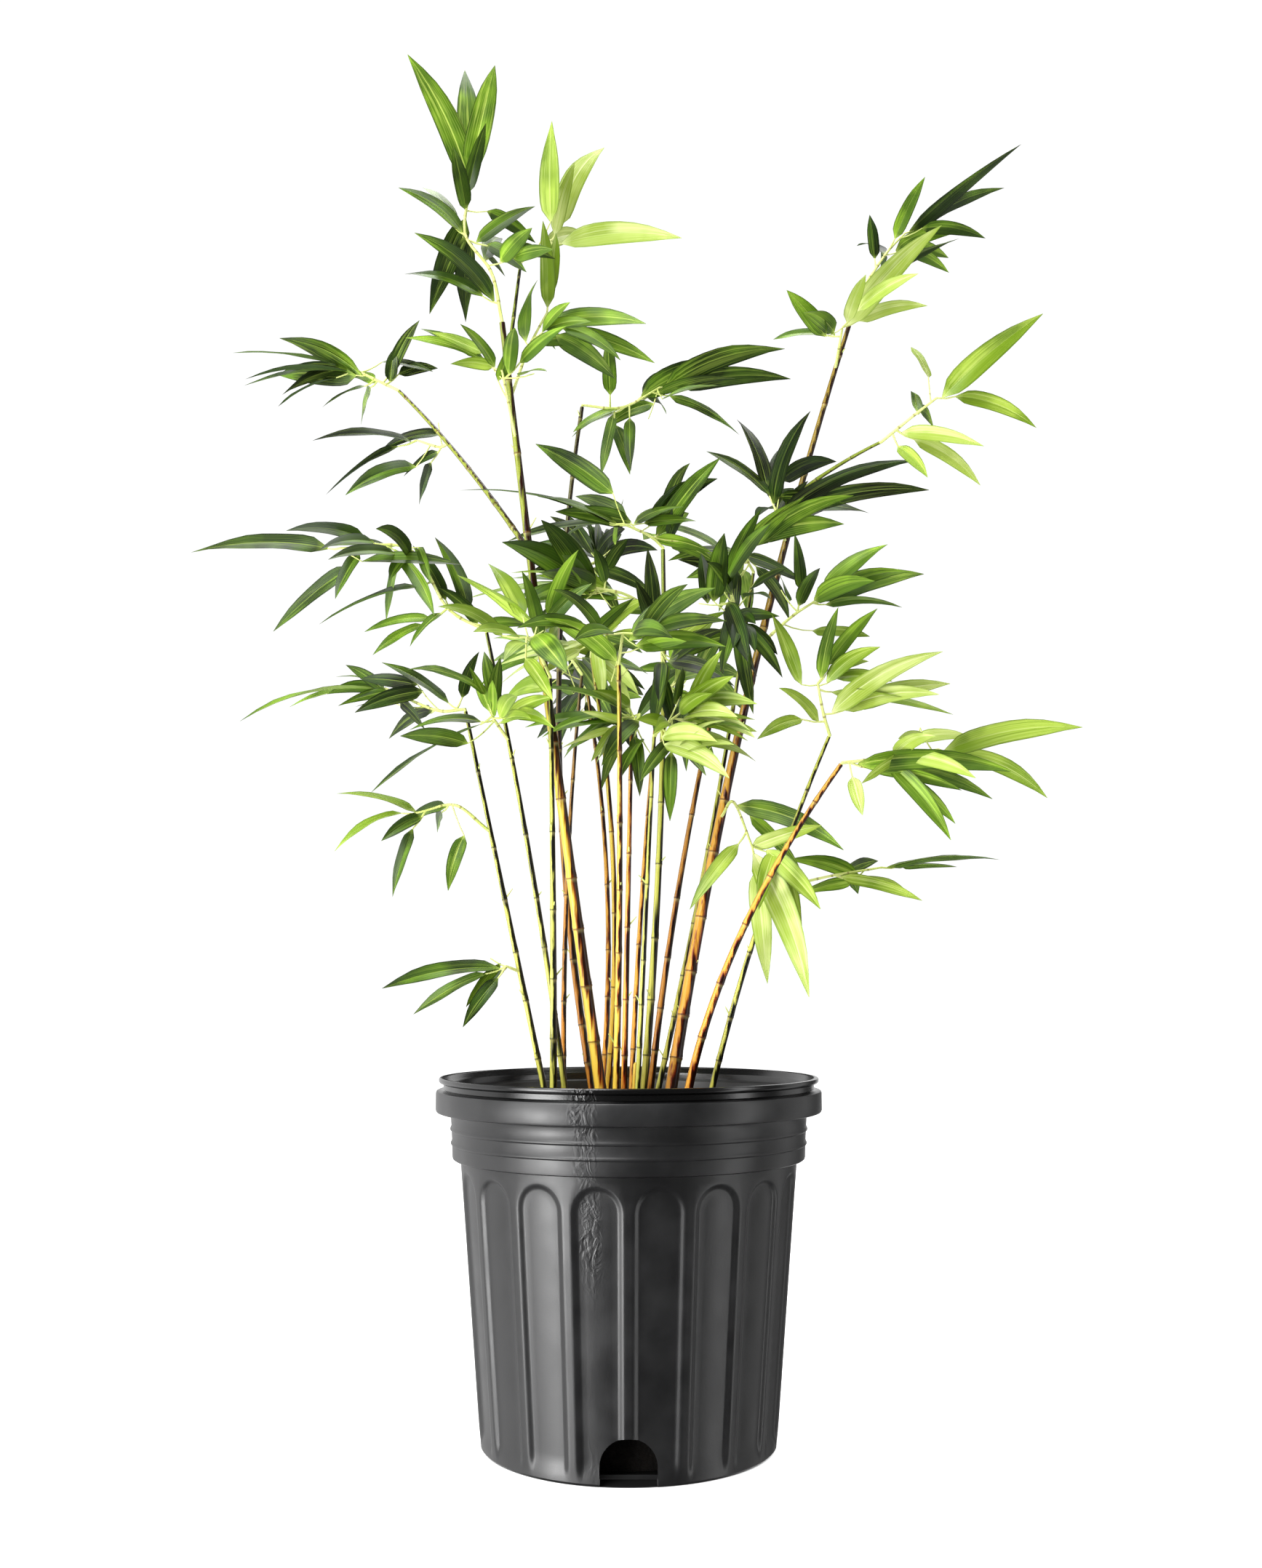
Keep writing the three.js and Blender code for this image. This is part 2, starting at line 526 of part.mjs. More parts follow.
function isClear(beads, room) {
  return beads.every((bead) => room.every((other) => {
    if (other.owner === bead.owner) return true;
    const least = bead.radius + other.radius + rule.clearance;
    return bead.place.distanceToSquared(other.place) > least * least;
  }));
}

// A smooth curve through points, with an even share of it for each stretch.
function curveThrough(points) {
  const stretches = points.length - 1;
  return (share) => {
    const i = Math.min(Math.floor(share * stretches), stretches - 1);
    const t = share * stretches - i;
    const [b, c] = [points[i], points[i + 1]];
    const a = i > 0 ? points[i - 1] : b.clone().multiplyScalar(2).sub(c);
    const d = i < stretches - 1 ? points[i + 2] : c.clone().multiplyScalar(2).sub(b);
    const weights = [
      -0.5 * t ** 3 + t ** 2 - 0.5 * t, 1.5 * t ** 3 - 2.5 * t ** 2 + 1,
      -1.5 * t ** 3 + 2 * t ** 2 + 0.5 * t, 0.5 * t ** 3 - 0.5 * t ** 2,
    ];
    const place = new THREE.Vector3();
    [a, b, c, d].forEach((point, k) => place.addScaledVector(point, weights[k]));
    return place;
  };
}

function drawsFrom(seed) {
  let state = seed >>> 0;
  return () => {
    state = (Math.imul(state, 1664525) + 1013904223) >>> 0;
    return state / 4294967296;
  };
}

// Leaves

function headingOf(degrees, lean) {
  const flat = Math.cos(radians(lean));
  return new THREE.Vector3(
    Math.cos(radians(degrees)) * flat, Math.sin(radians(lean)), Math.sin(radians(degrees)) * flat,
  );
}

// A leaf is a flat blade, widest a third of the way along, arched over its chord.
function leafPlan(root, heading, long, turn, arch, owner) {
  const facing = toFront.clone().addScaledVector(heading, -toFront.dot(heading)).normalize();
  const edge = new THREE.Vector3().crossVectors(heading, facing);
  const face = facing.multiplyScalar(Math.cos(radians(turn))).addScaledVector(edge, Math.sin(radians(turn)));
  const lift = upward.clone().addScaledVector(heading, -heading.z);
  if (lift.length() < 0.3) lift.copy(face);
  lift.normalize();
  const pointAt = (share) => root.clone().addScaledVector(heading, long * share)
    .addScaledVector(lift, long * arch * 4 * share * (1 - share));
  const half = Math.min(Math.max(long * rule.leafWide, rule.leafWideLimits[0]), rule.leafWideLimits[1]) / 2;
  const halfAt = (share) => (share < rule.widestAt
    ? mix(rule.leafRootHalf[0], half, share / rule.widestAt)
    : mix(half, 0, (share - rule.widestAt) / (1 - rule.widestAt)));
  return { pointAt, halfAt, heading, face, long, beads: beadsOf(pointAt, halfAt, long, owner) };
}

// The blade is three-sided, flat below and ridged above. Given a twig's foot, it carries the twig too.
function leafSolid({ pointAt, halfAt, heading, face, long }, twigFoot) {
  const thick = Math.max(long * rule.leafThick, rule.leafThickLeast) / 1.5;
  const stations = [
    { place: pointAt(0), section: twigFoot ? [rule.twigThick[1], rule.twigThick[1]] : rule.leafRootHalf },
    { place: pointAt(rule.widestAt), section: [halfAt(rule.widestAt) / Math.sin(radians(60)), thick] },
    { place: pointAt(1), section: [0, 0] },
  ];
  if (twigFoot) stations.unshift({ place: twigFoot, section: [rule.twigThick[0], rule.twigThick[0]] });
  const steps = stations.length - 1;
  const stationAt = (share) => stations[Math.round(share * steps)];
  const across = new THREE.Vector3().crossVectors(heading, face);
  return sweep(
    (share) => stationAt(share).place.clone(), () => [across, face], (share) => stationAt(share).section, 3, steps,
  );
}

// The leaves of a fan are rooted one by one along its side twig, the most outward nearest the stem.
// This gives a leaf's place in that order, from 0 to 1.
function orderOf(i, count) {
  if (count === 1) return 1;
  const fromEdge = Math.min(i, count - 1 - i);
  const rank = 2 * fromEdge + (i > count - 1 - i ? 1 : 0);
  return rank / (count - 1);
}

// One side twig with its leaves, which open in depth like a hand of cards, so none cuts the next.
function growFan(fan, stem, draw, room, owner) {
  const [share, first, last, count, longFirst, longLast, lean, turn] = fan;
  const middle = (first + last) / 2;
  const reach = rule.twigReach[0] + rule.twigReach[1] * count;
  const foot = stem.pointAt(share);
  const tip = foot.clone().addScaledVector(headingOf(middle, lean * rule.twigLeanShare + rule.twigLean), reach);
  const twigAt = (s) => foot.clone().lerp(tip, s);
  const twigBeads = beadsOf(twigAt, () => rule.twigThick[0], reach, owner);
  if (!isClear(twigBeads, room)) return [];
  const leaves = [];
  for (let i = 0; i < count; i += 1) {
    const part = count > 1 ? i / (count - 1) : 0.5;
    const order = orderOf(i, count);
    const step = count > 1 ? mix(-rule.leanStep, rule.leanStep, order) : 0;
    const degrees = mix(first, last, part) + (draw() * 2 - 1) * rule.headingStray;
    const away = lean + step + (draw() * 2 - 1) * rule.leanStray;
    const long = mix(longFirst, longLast, part) * (1 + (draw() * 2 - 1) * rule.lengthStray);
    const twist = turn + (draw() * 2 - 1) * rule.turnStray;
    const arch = mix(rule.archLimits[0], rule.archLimits[1], draw());
    const root = twigAt(mix(rule.rootShares[0], rule.rootShares[1], order));
    for (const dodge of rule.dodges) {
      const leaf = leafPlan(root, headingOf(degrees, away + dodge), long, twist, arch, owner);
      if (isClear(leaf.beads, room)) {
        leaves.push({ ...leaf, ends: order === 1 });
        break;
      }
    }
  }
  if (leaves.length === 0) return [];
  return [{ twigAt, leaves, beads: [...twigBeads, ...leaves.flatMap((leaf) => leaf.beads)] }];
}

// The leaf at a twig's end is one solid with the twig. Without that leaf the twig ends bare.
function fanSolids({ twigAt, leaves }) {
  const solids = leaves.map((leaf) => leafSolid(leaf, leaf.ends ? twigAt(0) : null));
  const bare = !leaves.some((leaf) => leaf.ends);
  return bare ? [taperedTube(twigAt, rule.twigThick, rule.twigSides, 1, false), ...solids] : solids;
}

function growStem(plan, limbs, owner) {
  const bends = plan.path.map((point) => new THREE.Vector3(...point));
  const seat = seatOn(limbs[plan.on], plan.at, bends[0], rule.stemThick[0]);
  const pointAt = curveThrough([seat, ...bends]);
  const steps = 2 * bends.length;
  const length = seat.distanceTo(bends[bends.length - 1]);
  const beads = beadsOf(pointAt, () => rule.stemThick[0], length * 1.2, owner);
  const solid = taperedTube(pointAt, rule.stemThick, rule.twigSides, steps, false);
  return { pointAt, beads, solid };
}

function growMasses(limbs) {
  const room = [];
  for (const [name, limb] of Object.entries(limbs)) {
    const radiusAt = (share) => mix(limb.thick[0], limb.thick[1], share);
    room.push(...beadsOf(limb.pointAt, radiusAt, limb.pointAt(0).distanceTo(limb.pointAt(1)), name));
  }
  const stems = {};
  for (const [name, plan] of Object.entries(masses)) {
    stems[name] = growStem(plan, limbs, name);
    room.push(...stems[name].beads);
  }
  const grown = {};
  Object.entries(masses).forEach(([name, plan], index) => {
    const draw = drawsFrom(rule.seed + 977 * index);
    let solid = stems[name].solid;
    for (const fan of plan.fans) {
      for (const spray of growFan(fan, stems[name], draw, room, name)) {
        for (const piece of fanSolids(spray)) solid = solid.add(piece);
        room.push(...spray.beads);
      }
    }
    grown[name] = { solid: outerShell(solid), tone: plan.tone };
  });
  return grown;
}

// Scene

function meshOf(name, solid, tone, roughness) {
  const material = new THREE.MeshStandardMaterial({ color: tones[tone], roughness, metalness: 0 });
  const mesh = new THREE.Mesh(geometryOf(solid), material);
  mesh.name = name;
  return mesh;
}

const group = new THREE.Group();
group.add(meshOf("pot", makePot(), "plastic", 0.45));
group.add(meshOf("soil", makeSoil(), "mix", 0.95));
const limbs = growCanes();
for (const [name, limb] of Object.entries(limbs)) group.add(meshOf(name, limb.solid, limb.tone, 0.5));
for (const [name, mass] of Object.entries(growMasses(limbs))) group.add(meshOf(name, mass.solid, mass.tone, 0.6));

export default group;
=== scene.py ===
import math

import bmesh
import bpy
import numpy as np
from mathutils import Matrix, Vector, noise


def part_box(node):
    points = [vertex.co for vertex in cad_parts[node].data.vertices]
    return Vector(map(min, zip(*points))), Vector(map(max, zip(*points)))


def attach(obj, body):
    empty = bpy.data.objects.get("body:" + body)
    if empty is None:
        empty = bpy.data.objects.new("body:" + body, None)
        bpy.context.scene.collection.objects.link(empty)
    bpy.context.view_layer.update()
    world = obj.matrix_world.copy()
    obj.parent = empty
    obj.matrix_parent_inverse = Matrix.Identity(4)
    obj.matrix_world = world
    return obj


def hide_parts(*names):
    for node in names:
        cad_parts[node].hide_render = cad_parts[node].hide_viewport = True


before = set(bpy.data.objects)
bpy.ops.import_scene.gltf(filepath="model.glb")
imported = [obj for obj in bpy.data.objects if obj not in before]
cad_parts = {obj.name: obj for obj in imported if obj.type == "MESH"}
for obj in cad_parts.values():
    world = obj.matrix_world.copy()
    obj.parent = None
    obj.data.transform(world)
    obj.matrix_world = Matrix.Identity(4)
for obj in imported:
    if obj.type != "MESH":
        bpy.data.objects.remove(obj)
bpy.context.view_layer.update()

# A young clump of bamboo in a round black nursery pot, standing at the origin.
# Plans are in millimetres, as the frame was drawn, and become metres when a mesh is made.

mm = 0.001


# Small helpers

def mix(a, b, share):
    return a + (b - a) * share


def smooth(share):
    share = min(max(share, 0), 1)
    return share * share * (3 - 2 * share)


def unit(vector):
    return vector / np.linalg.norm(vector)


def tint(code):
    # an ordinary screen colour such as "8fae3a", as the linear colour that nodes take
    parts = [int(code[i:i + 2], 16) / 255 for i in (0, 2, 4)]
    return [c / 12.92 if c < 0.04045 else ((c + 0.055) / 1.055) ** 2.4 for c in parts] + [1]


class Flow:
    # the outlet of a node: a sum, product or comparison written with it becomes a node of its own
    def __init__(self, socket):
        self.socket = socket
        self.tree = socket.id_data

    def __add__(self, other):
        return reckon("ADD", self, other)

    def __sub__(self, other):
        return reckon("SUBTRACT", self, other)

    def __rsub__(self, other):
        return reckon("SUBTRACT", other, self)

    def __mul__(self, other):
        return reckon("MULTIPLY", self, other)

    def __lt__(self, other):
        return reckon("LESS_THAN", self, other)

    def __gt__(self, other):
        return reckon("GREATER_THAN", self, other)

    def __abs__(self):
        return reckon("ABSOLUTE", self)


def reckon(operation, *values):
    # a math node, of the vector kind where a vector is fed in; a vector times a number is scaled
    tree = next(value.tree for value in values if isinstance(value, Flow))
    areVectors = [isinstance(v, tuple) or (isinstance(v, Flow) and v.socket.type == "VECTOR") for v in values]
    kind = "ShaderNodeVectorMath" if any(areVectors) else "ShaderNodeMath"
    inputs = dict(enumerate(values))
    if operation == "MULTIPLY" and areVectors == [True, False]:
        operation, inputs = "SCALE", {0: values[0], "Scale": values[1]}
    out = "Value" if operation in ("LENGTH", "DOT_PRODUCT") else 0
    return put(tree, kind, inputs, out, operation=operation)


def feed(socket, source):
    if isinstance(source, Flow):
        socket.id_data.links.new(source.socket, socket)
    else:
        socket.default_value = source


def newNode(tree, kind, inputs=None, **settings):
    node = tree.nodes.new(kind)
    for key, value in settings.items():
        setattr(node, key, value)
    for key, source in (inputs or {}).items():
        feed(node.inputs[key], source)
    return node


def put(tree, kind, inputs=None, out=0, **settings):
    return Flow(newNode(tree, kind, inputs, **settings).outputs[out])


def split(vector):
    return [Flow(part) for part in newNode(vector.tree, "ShaderNodeSeparateXYZ", {0: vector}).outputs]


def newTree(name, **sizes):
    # a modifier's tree, with the outlets of its named inputs
    tree = bpy.data.node_groups.new(name, "GeometryNodeTree")
    for label, kind in {"Geometry": "Geometry", **sizes}.items():
        tree.interface.new_socket(label, in_out="INPUT", socket_type="NodeSocket" + kind)
    tree.interface.new_socket("Geometry", in_out="OUTPUT", socket_type="NodeSocketGeometry")
    return tree, {outlet.name: Flow(outlet) for outlet in newNode(tree, "NodeGroupInput").outputs}


def closeTree(geometry, finish, isSmooth=True):
    # every tree ends alike: faces shaded smooth unless told otherwise, copies made real, finish given
    tree = geometry.tree
    if isSmooth:
        geometry = put(tree, "GeometryNodeSetShadeSmooth", {"Geometry": geometry})
    real = put(tree, "GeometryNodeRealizeInstances", {"Geometry": geometry})
    done = put(tree, "GeometryNodeSetMaterial", {"Geometry": real, "Material": finish})
    newNode(tree, "NodeGroupOutput", {0: done})
    return tree


def attribute(tree, name, kind="FLOAT"):
    return put(tree, "GeometryNodeInputNamedAttribute", {"Name": name}, data_type=kind)


def keep(mesh, label, values, kind="FLOAT"):
    field = "value" if kind == "FLOAT" else "vector"
    mesh.attributes.new(label, kind, "POINT").data.foreach_set(field, values)


def meshFrom(name, corners, edges, faces):
    mesh = bpy.data.meshes.new(name)
    mesh.from_pydata([tuple(c) for c in corners], edges, faces)
    return mesh


def objectFrom(name, data):
    thing = bpy.data.objects.new(name, data)
    bpy.context.scene.collection.objects.link(thing)
    return thing


def faceOutward(mesh):
    faced = bmesh.new()
    faced.from_mesh(mesh)
    bmesh.ops.recalc_face_normals(faced, faces=faced.faces)
    faced.to_mesh(mesh)
    faced.free()


def worked(piece):
    # the evaluated shape becomes the piece's own plain mesh, and its modifiers go
    depsgraph = bpy.context.evaluated_depsgraph_get()
    mesh = bpy.data.meshes.new_from_object(
        piece.evaluated_get(depsgraph), preserve_all_data_layers=True, depsgraph=depsgraph)
    piece.modifiers.clear()
    piece.data = mesh
    return piece


def grownBy(tree, name, mesh, sizes):
    piece = objectFrom(name, mesh)
    modifier = piece.modifiers.new("rule", "NODES")
    modifier.node_group = tree
    for item in tree.interface.items_tree:
        if item.in_out == "INPUT" and item.name in sizes:
            modifier[item.identifier] = sizes[item.name]
    return worked(piece)


def settle(piece, nodes, creaseAngle):
    piece.data.set_sharp_from_angle(angle=math.radians(creaseAngle))
    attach(piece, "root")
    if nodes:
        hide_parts(*nodes)


# Finishes. A range in a look holds the values at its two ends, then the two ends, in metres for a place.

def newFinish(name, roughness, specular):
    material = bpy.data.materials.new(name)
    material.use_nodes = True
    shader = material.node_tree.nodes["Principled BSDF"]
    shader.inputs["Roughness"].default_value = roughness
    shader.inputs["Specular IOR Level"].default_value = specular
    return material, material.node_tree, shader


def blend(share, first, second):
    sources = [tint(source) if isinstance(source, str) else source for source in (first, second)]
    return put(share.tree, "ShaderNodeMix", {0: share, 6: sources[0], 7: sources[1]}, 2, data_type="RGBA")


def ramp(value, low, high, fromLow=0.0, fromHigh=1.0, style="LINEAR"):
    inputs = dict(enumerate((value, fromLow, fromHigh, low, high)))
    return put(value.tree, "ShaderNodeMapRange", inputs, interpolation_type=style, clamp=True)


def softRamp(value, low, high, fromLow, fromHigh):
    return ramp(value, low, high, fromLow, fromHigh, "SMOOTHSTEP")


def cloud(place, scale, detail=3.0, stretch=None, distortion=0.0):
    # a seedless noise pattern over a place, stretched if asked
    if stretch:
        place = put(place.tree, "ShaderNodeMapping", {"Vector": place, "Scale": stretch})
    return put(place.tree, "ShaderNodeTexNoise", {
        "Vector": place, "Scale": scale, "Detail": detail, "Distortion": distortion})


def raised(shader, height, distance, strength=1.0, under=None):
    inputs = {"Height": height, "Distance": distance * mm, "Strength": strength}
    if under:
        inputs["Normal"] = under
    normal = put(shader.id_data, "ShaderNodeBump", inputs)
    feed(shader.inputs["Normal"], normal)
    return normal


def stored(tree, name, out="Fac"):
    return put(tree, "ShaderNodeAttribute", out=out, attribute_name=name)


def placeIn(tree, kind="Object"):
    return put(tree, "ShaderNodeTexCoord", out=kind)


# Pot: one sector with its arched panel, turned round 18 times, then four drain notches cut

# "chamfered" pairs a share of the way over a panel's sloping edge with the share of its depth there, and
# "flat" holds shares of the way back to its middle line
pot = dict(
    sectors=18, weld=0.02, creaseAngle=38, footRadius=105, footBevel=2, bodyRadius=121.5, wall=3,
    floor=3, collarLow=199.5, collarFoot=127.8, collarTop=130.5, panelFootHalf=16, panelTopHalf=18,
    panelDepth=2.1, ribProud=0.3, ribFade=5, chamfer=5, archCentre=175.5, archTop=198, fadeLow=3, fadeHigh=16,
    topSteps=14, sideSteps=4, levels=[2, 5, 8, 11, 14, 18, 24, 34, 60, 88, 117, 147, 175.5],
    chamfered=[(0.2, 0.1), (0.4, 0.37), (0.6, 0.66), (0.8, 0.92)], flat=[1, 0.66, 0.33, 0],
)
potUpper = [
    (121.5, 199), (126.2, 199.2), (127.3, 199.9), (127.6, 201.2), (127.9, 209.4), (128.7, 210.1),
    (128.9, 210.8), (128.6, 211.7), (128, 212.9), (128.4, 219.3), (129.3, 220.1), (129.5, 220.8),
    (129.2, 221.7), (128.6, 222.9), (129.1, 230.4), (129.8, 231.6), (133.4, 232.3), (138.2, 232.5),
    (139.4, 233), (140, 234.3), (140, 246.3), (139.5, 247.5), (138.4, 248), (135.6, 248.4),
    (134.7, 249.1), (134.6, 252.4), (135.4, 253.2), (137.2, 253.5), (137.9, 254.3), (138, 256),
    (137.5, 256.8), (136.4, 257), (134.6, 256.9), (133.6, 256.2), (132.6, 253.4), (131.9, 252.8),
    (131.3, 251.6), (130.9, 247.2), (129.8, 246.5), (129.4, 245.6), (127.4, 233.2), (124.9, 202.2),
    (118.5, 198.6), (102.3, 4), (101.3, 3),
]
notch = dict(count=4, half=19, height=31.5, reach=20, past=12, arcSteps=28)


def bodyRadius(z):
    return mix(pot["footRadius"], pot["bodyRadius"], z / pot["collarLow"])


def panelColumns(z):
    # distances from the panel's middle line, from the rib's middle inwards, with the share of depth at each
    edge = mix(pot["panelFootHalf"], pot["panelTopHalf"], z / pot["archCentre"])
    rib = bodyRadius(z) * math.pi / pot["sectors"]
    pairs = [(rib, 0), ((rib + edge) / 2, 0), (edge, 0)]
    pairs += [(edge - pot["chamfer"] * share, depth) for share, depth in pot["chamfered"]]
    pairs += [((edge - pot["chamfer"]) * share, 1) for share in pot["flat"]]
    return list(zip(*pairs))


def potSector():
    corners = []
    faces = []

    def place(angle, radius, z):
        corners.append((radius * math.sin(angle) * mm, -radius * math.cos(angle) * mm, z * mm))
        return len(corners) - 1

    def bridge(low, high):
        for i in range(len(low) - 1):
            if len(high) == 1:
                faces.append((low[i], low[i + 1], high[0]))
            else:
                faces.append((low[i], low[i + 1], high[i + 1], high[i]))

    def wallPoint(x, z, share):
        fade = smooth((z - pot["fadeLow"]) / (pot["fadeHigh"] - pot["fadeLow"]))
        proud = pot["ribProud"] * (1 - share) * fade * smooth((pot["archTop"] - z) / pot["ribFade"])
        return place(x / bodyRadius(z), bodyRadius(z) - pot["panelDepth"] * share * fade + proud, z)

    rows = []
    for z in pot["levels"]:
        half = list(zip(*panelColumns(z)))
        rows.append([wallPoint(x, z, d) for x, d in [(-x, d) for x, d in half] + half[-2::-1]])
    for low, high in zip(rows, rows[1:]):
        bridge(low, high)

    # the arch: rings round its centre, out to the four-sided edge of the sector
    centre = pot["archCentre"]
    places, depths = panelColumns(centre)
    halfTurn = math.pi / pot["sectors"]
    topTurns = [halfTurn * (2 * i / pot["topSteps"] - 1) for i in range(pot["topSteps"] + 1)]
    rise = [mix(centre, pot["archTop"], i / pot["sideSteps"]) for i in range(pot["sideSteps"] + 1)]
    edge = [(-halfTurn * bodyRadius(z), z) for z in rise]
    edge += [(turn * bodyRadius(pot["archTop"]), pot["archTop"]) for turn in topTurns[1:-1]]
    edge += [(halfTurn * bodyRadius(z), z) for z in reversed(rise)]
    turns = [math.atan2(z - centre, x) for x, z in edge]
    rings = [[wallPoint(x, z, 0) for x, z in edge]]
    for k in range(1, len(places) - 1):
        ring = []
        for (x, z), turn in zip(edge, turns):
            spot = (places[k] * math.cos(turn), centre + places[k] * math.sin(turn))
            if k == 1:
                outline = (places[2] * math.cos(turn), centre + places[2] * math.sin(turn))
                spot = ((x + outline[0]) / 2, (z + outline[1]) / 2)
            ring.append(wallPoint(spot[0], spot[1], depths[k]))
        rings.append(ring)
    for outer, inner in zip(rings, rings[1:]):
        bridge(outer, inner)
    bridge(rings[-1], [wallPoint(0, centre, 1)])

    # collar, band, lip and inside, then the floor
    top = rings[0][pot["sideSteps"]:len(edge) - pot["sideSteps"]]
    for radius, z in potUpper:
        high = [place(turn, radius, z) for turn in topTurns]
        bridge(top, high)
        top = high
    bridge(top, [place(0, 0, pot["floor"])])

    # the flat underside
    places, depths = panelColumns(pot["levels"][0])
    angles = [-x / bodyRadius(pot["levels"][0]) for x in places]
    angles += [-a for a in angles[-2::-1]]
    base = [place(a, pot["footRadius"] - pot["footBevel"], 0) for a in angles]
    bridge(base, rows[0])
    bridge(base, [place(0, 0, 0)])
    return meshFrom("potSector", corners, [], faces)


def makePot(finish):
    tree, given = newTree("potRound", Count="Int", Weld="Float", Finish="Material")
    points = put(tree, "GeometryNodePoints", {"Count": given["Count"]})
    # a rib faces the front, so the first panel is half a step round
    turn = (put(tree, "GeometryNodeInputIndex") + 0.5) * reckon("DIVIDE", math.tau, given["Count"])
    copies = put(tree, "GeometryNodeInstanceOnPoints", {
        "Points": points, "Instance": given["Geometry"],
        "Rotation": put(tree, "ShaderNodeCombineXYZ", {"Z": turn})})
    real = put(tree, "GeometryNodeRealizeInstances", {"Geometry": copies})
    welded = put(tree, "GeometryNodeMergeByDistance", {"Geometry": real, "Distance": given["Weld"]})
    closeTree(welded, given["Finish"])
    piece = grownBy(tree, "potShell", potSector(), {
        "Count": pot["sectors"], "Weld": pot["weld"] * mm, "Finish": finish})
    faceOutward(piece.data)

    cutter = notchCutter()
    cut = piece.modifiers.new("notches", "BOOLEAN")
    cut.object = cutter
    cut.operation = "DIFFERENCE"
    cut.solver = "EXACT"
    worked(piece)
    bpy.data.objects.remove(cutter)
    for polygon in piece.data.polygons:
        polygon.material_index = 0
    piece.data.materials.clear()
    piece.data.materials.append(finish)
    settle(piece, ["pot"], pot["creaseAngle"])


def notchCutter():
    half, steps = notch["half"], notch["arcSteps"]
    outline = [(-half, -1), (half, -1)]
    for i in range(steps + 1):
        turn = math.pi * i / steps
        outline.append((half * math.cos(turn), notch["height"] - half + half * math.sin(turn)))
    count = len(outline)
    corners = []
    faces = []
    for k in range(notch["count"]):
        turn = k * math.tau / notch["count"]
        first = len(corners)
        for away in (pot["footRadius"] - notch["reach"], pot["footRadius"] + notch["past"]):
            for x, z in outline:
                corners.append(((x * math.cos(turn) + away * math.sin(turn)) * mm,
                                (x * math.sin(turn) - away * math.cos(turn)) * mm, z * mm))
        faces.append([first + i for i in range(count)])
        faces.append([first + count + i for i in reversed(range(count))])
        for i in range(count):
            j = (i + 1) % count
            faces.append([first + j, first + i, first + count + i, first + count + j])
    cutter = objectFrom("notchCutter", meshFrom("notchCutter", corners, [], faces))
    faceOutward(cutter.data)
    cutter.hide_render = True
    return cutter


potLook = dict(
    dark="0f0f10", worn="19191a", scuffed="333333", inside="030303",
    wear=[0, 1, 0.35, 0.7], scuffs=[0, 0.15, 0.6, 0.8], lip=[0, 1, 0.2475, 0.2485],
    dullness=[0.35, 0.45, 0.3, 0.7], lipDullness=0.24, seamTurn=math.radians(-12.5),
    seam=[1, 0, math.radians(1.5), math.radians(5)], seamHeight=[0.15, 1, 0.11, 0.165],
    patches=[0.3, 1, 0.4, 0.58], crinkle=1.1, grain=0.05,
)


def potFinish():
    material, tree, shader = newFinish("blackNurseryPlastic", 0.44, 0.62)
    place = placeIn(tree)
    wear = cloud(place, 38, 5)
    colour = blend(ramp(wear, *potLook["wear"]), potLook["dark"], potLook["worn"])
    scuffs = cloud(place, 60, 4, (1, 1, 0.12))
    colour = blend(ramp(scuffs, *potLook["scuffs"]), colour, potLook["scuffed"])
    x, y, z = split(place)
    # the lip and the inside are painted blacker than the outer wall, as painted shade, and the lip is
    # glossier
    lip = ramp(z, *potLook["lip"])
    outward = reckon("DOT_PRODUCT", placeIn(tree, "Normal"), place * (1, 1, 0))
    black = reckon("MAXIMUM", lip, outward < 0.0)
    feed(shader.inputs["Base Color"], blend(black, colour, potLook["inside"]))
    feed(shader.inputs["Roughness"], put(tree, "ShaderNodeMix", {
        0: lip, 2: ramp(wear, *potLook["dullness"]), 3: potLook["lipDullness"]}, data_type="FLOAT"))
    # a crinkled strip where the mould's halves met, left of the front, mostly in the upper half
    off = abs(reckon("ARCTAN2", x, y * -1.0) - potLook["seamTurn"])
    strip = softRamp(off, *potLook["seam"]) * softRamp(z, *potLook["seamHeight"])
    patchy = ramp(cloud(place, 14, 1, (0.2, 0.2, 1)), *potLook["patches"])
    crinkle = (cloud(place, 150, 3, (1, 1, 0.6), 1.6) - 0.5) * patchy
    first = raised(shader, strip * crinkle, potLook["crinkle"])
    raised(shader, cloud(place, 900, 2), potLook["grain"], 0.6, first)
    return material


# Growing rule, as the frame's own solids were grown: the same sizes, the same seeded draws. "bow" is how
# far a limb bends in its middle, "at" the height on the limb that carries it.

soilTop = 224
seatGap = 0.3

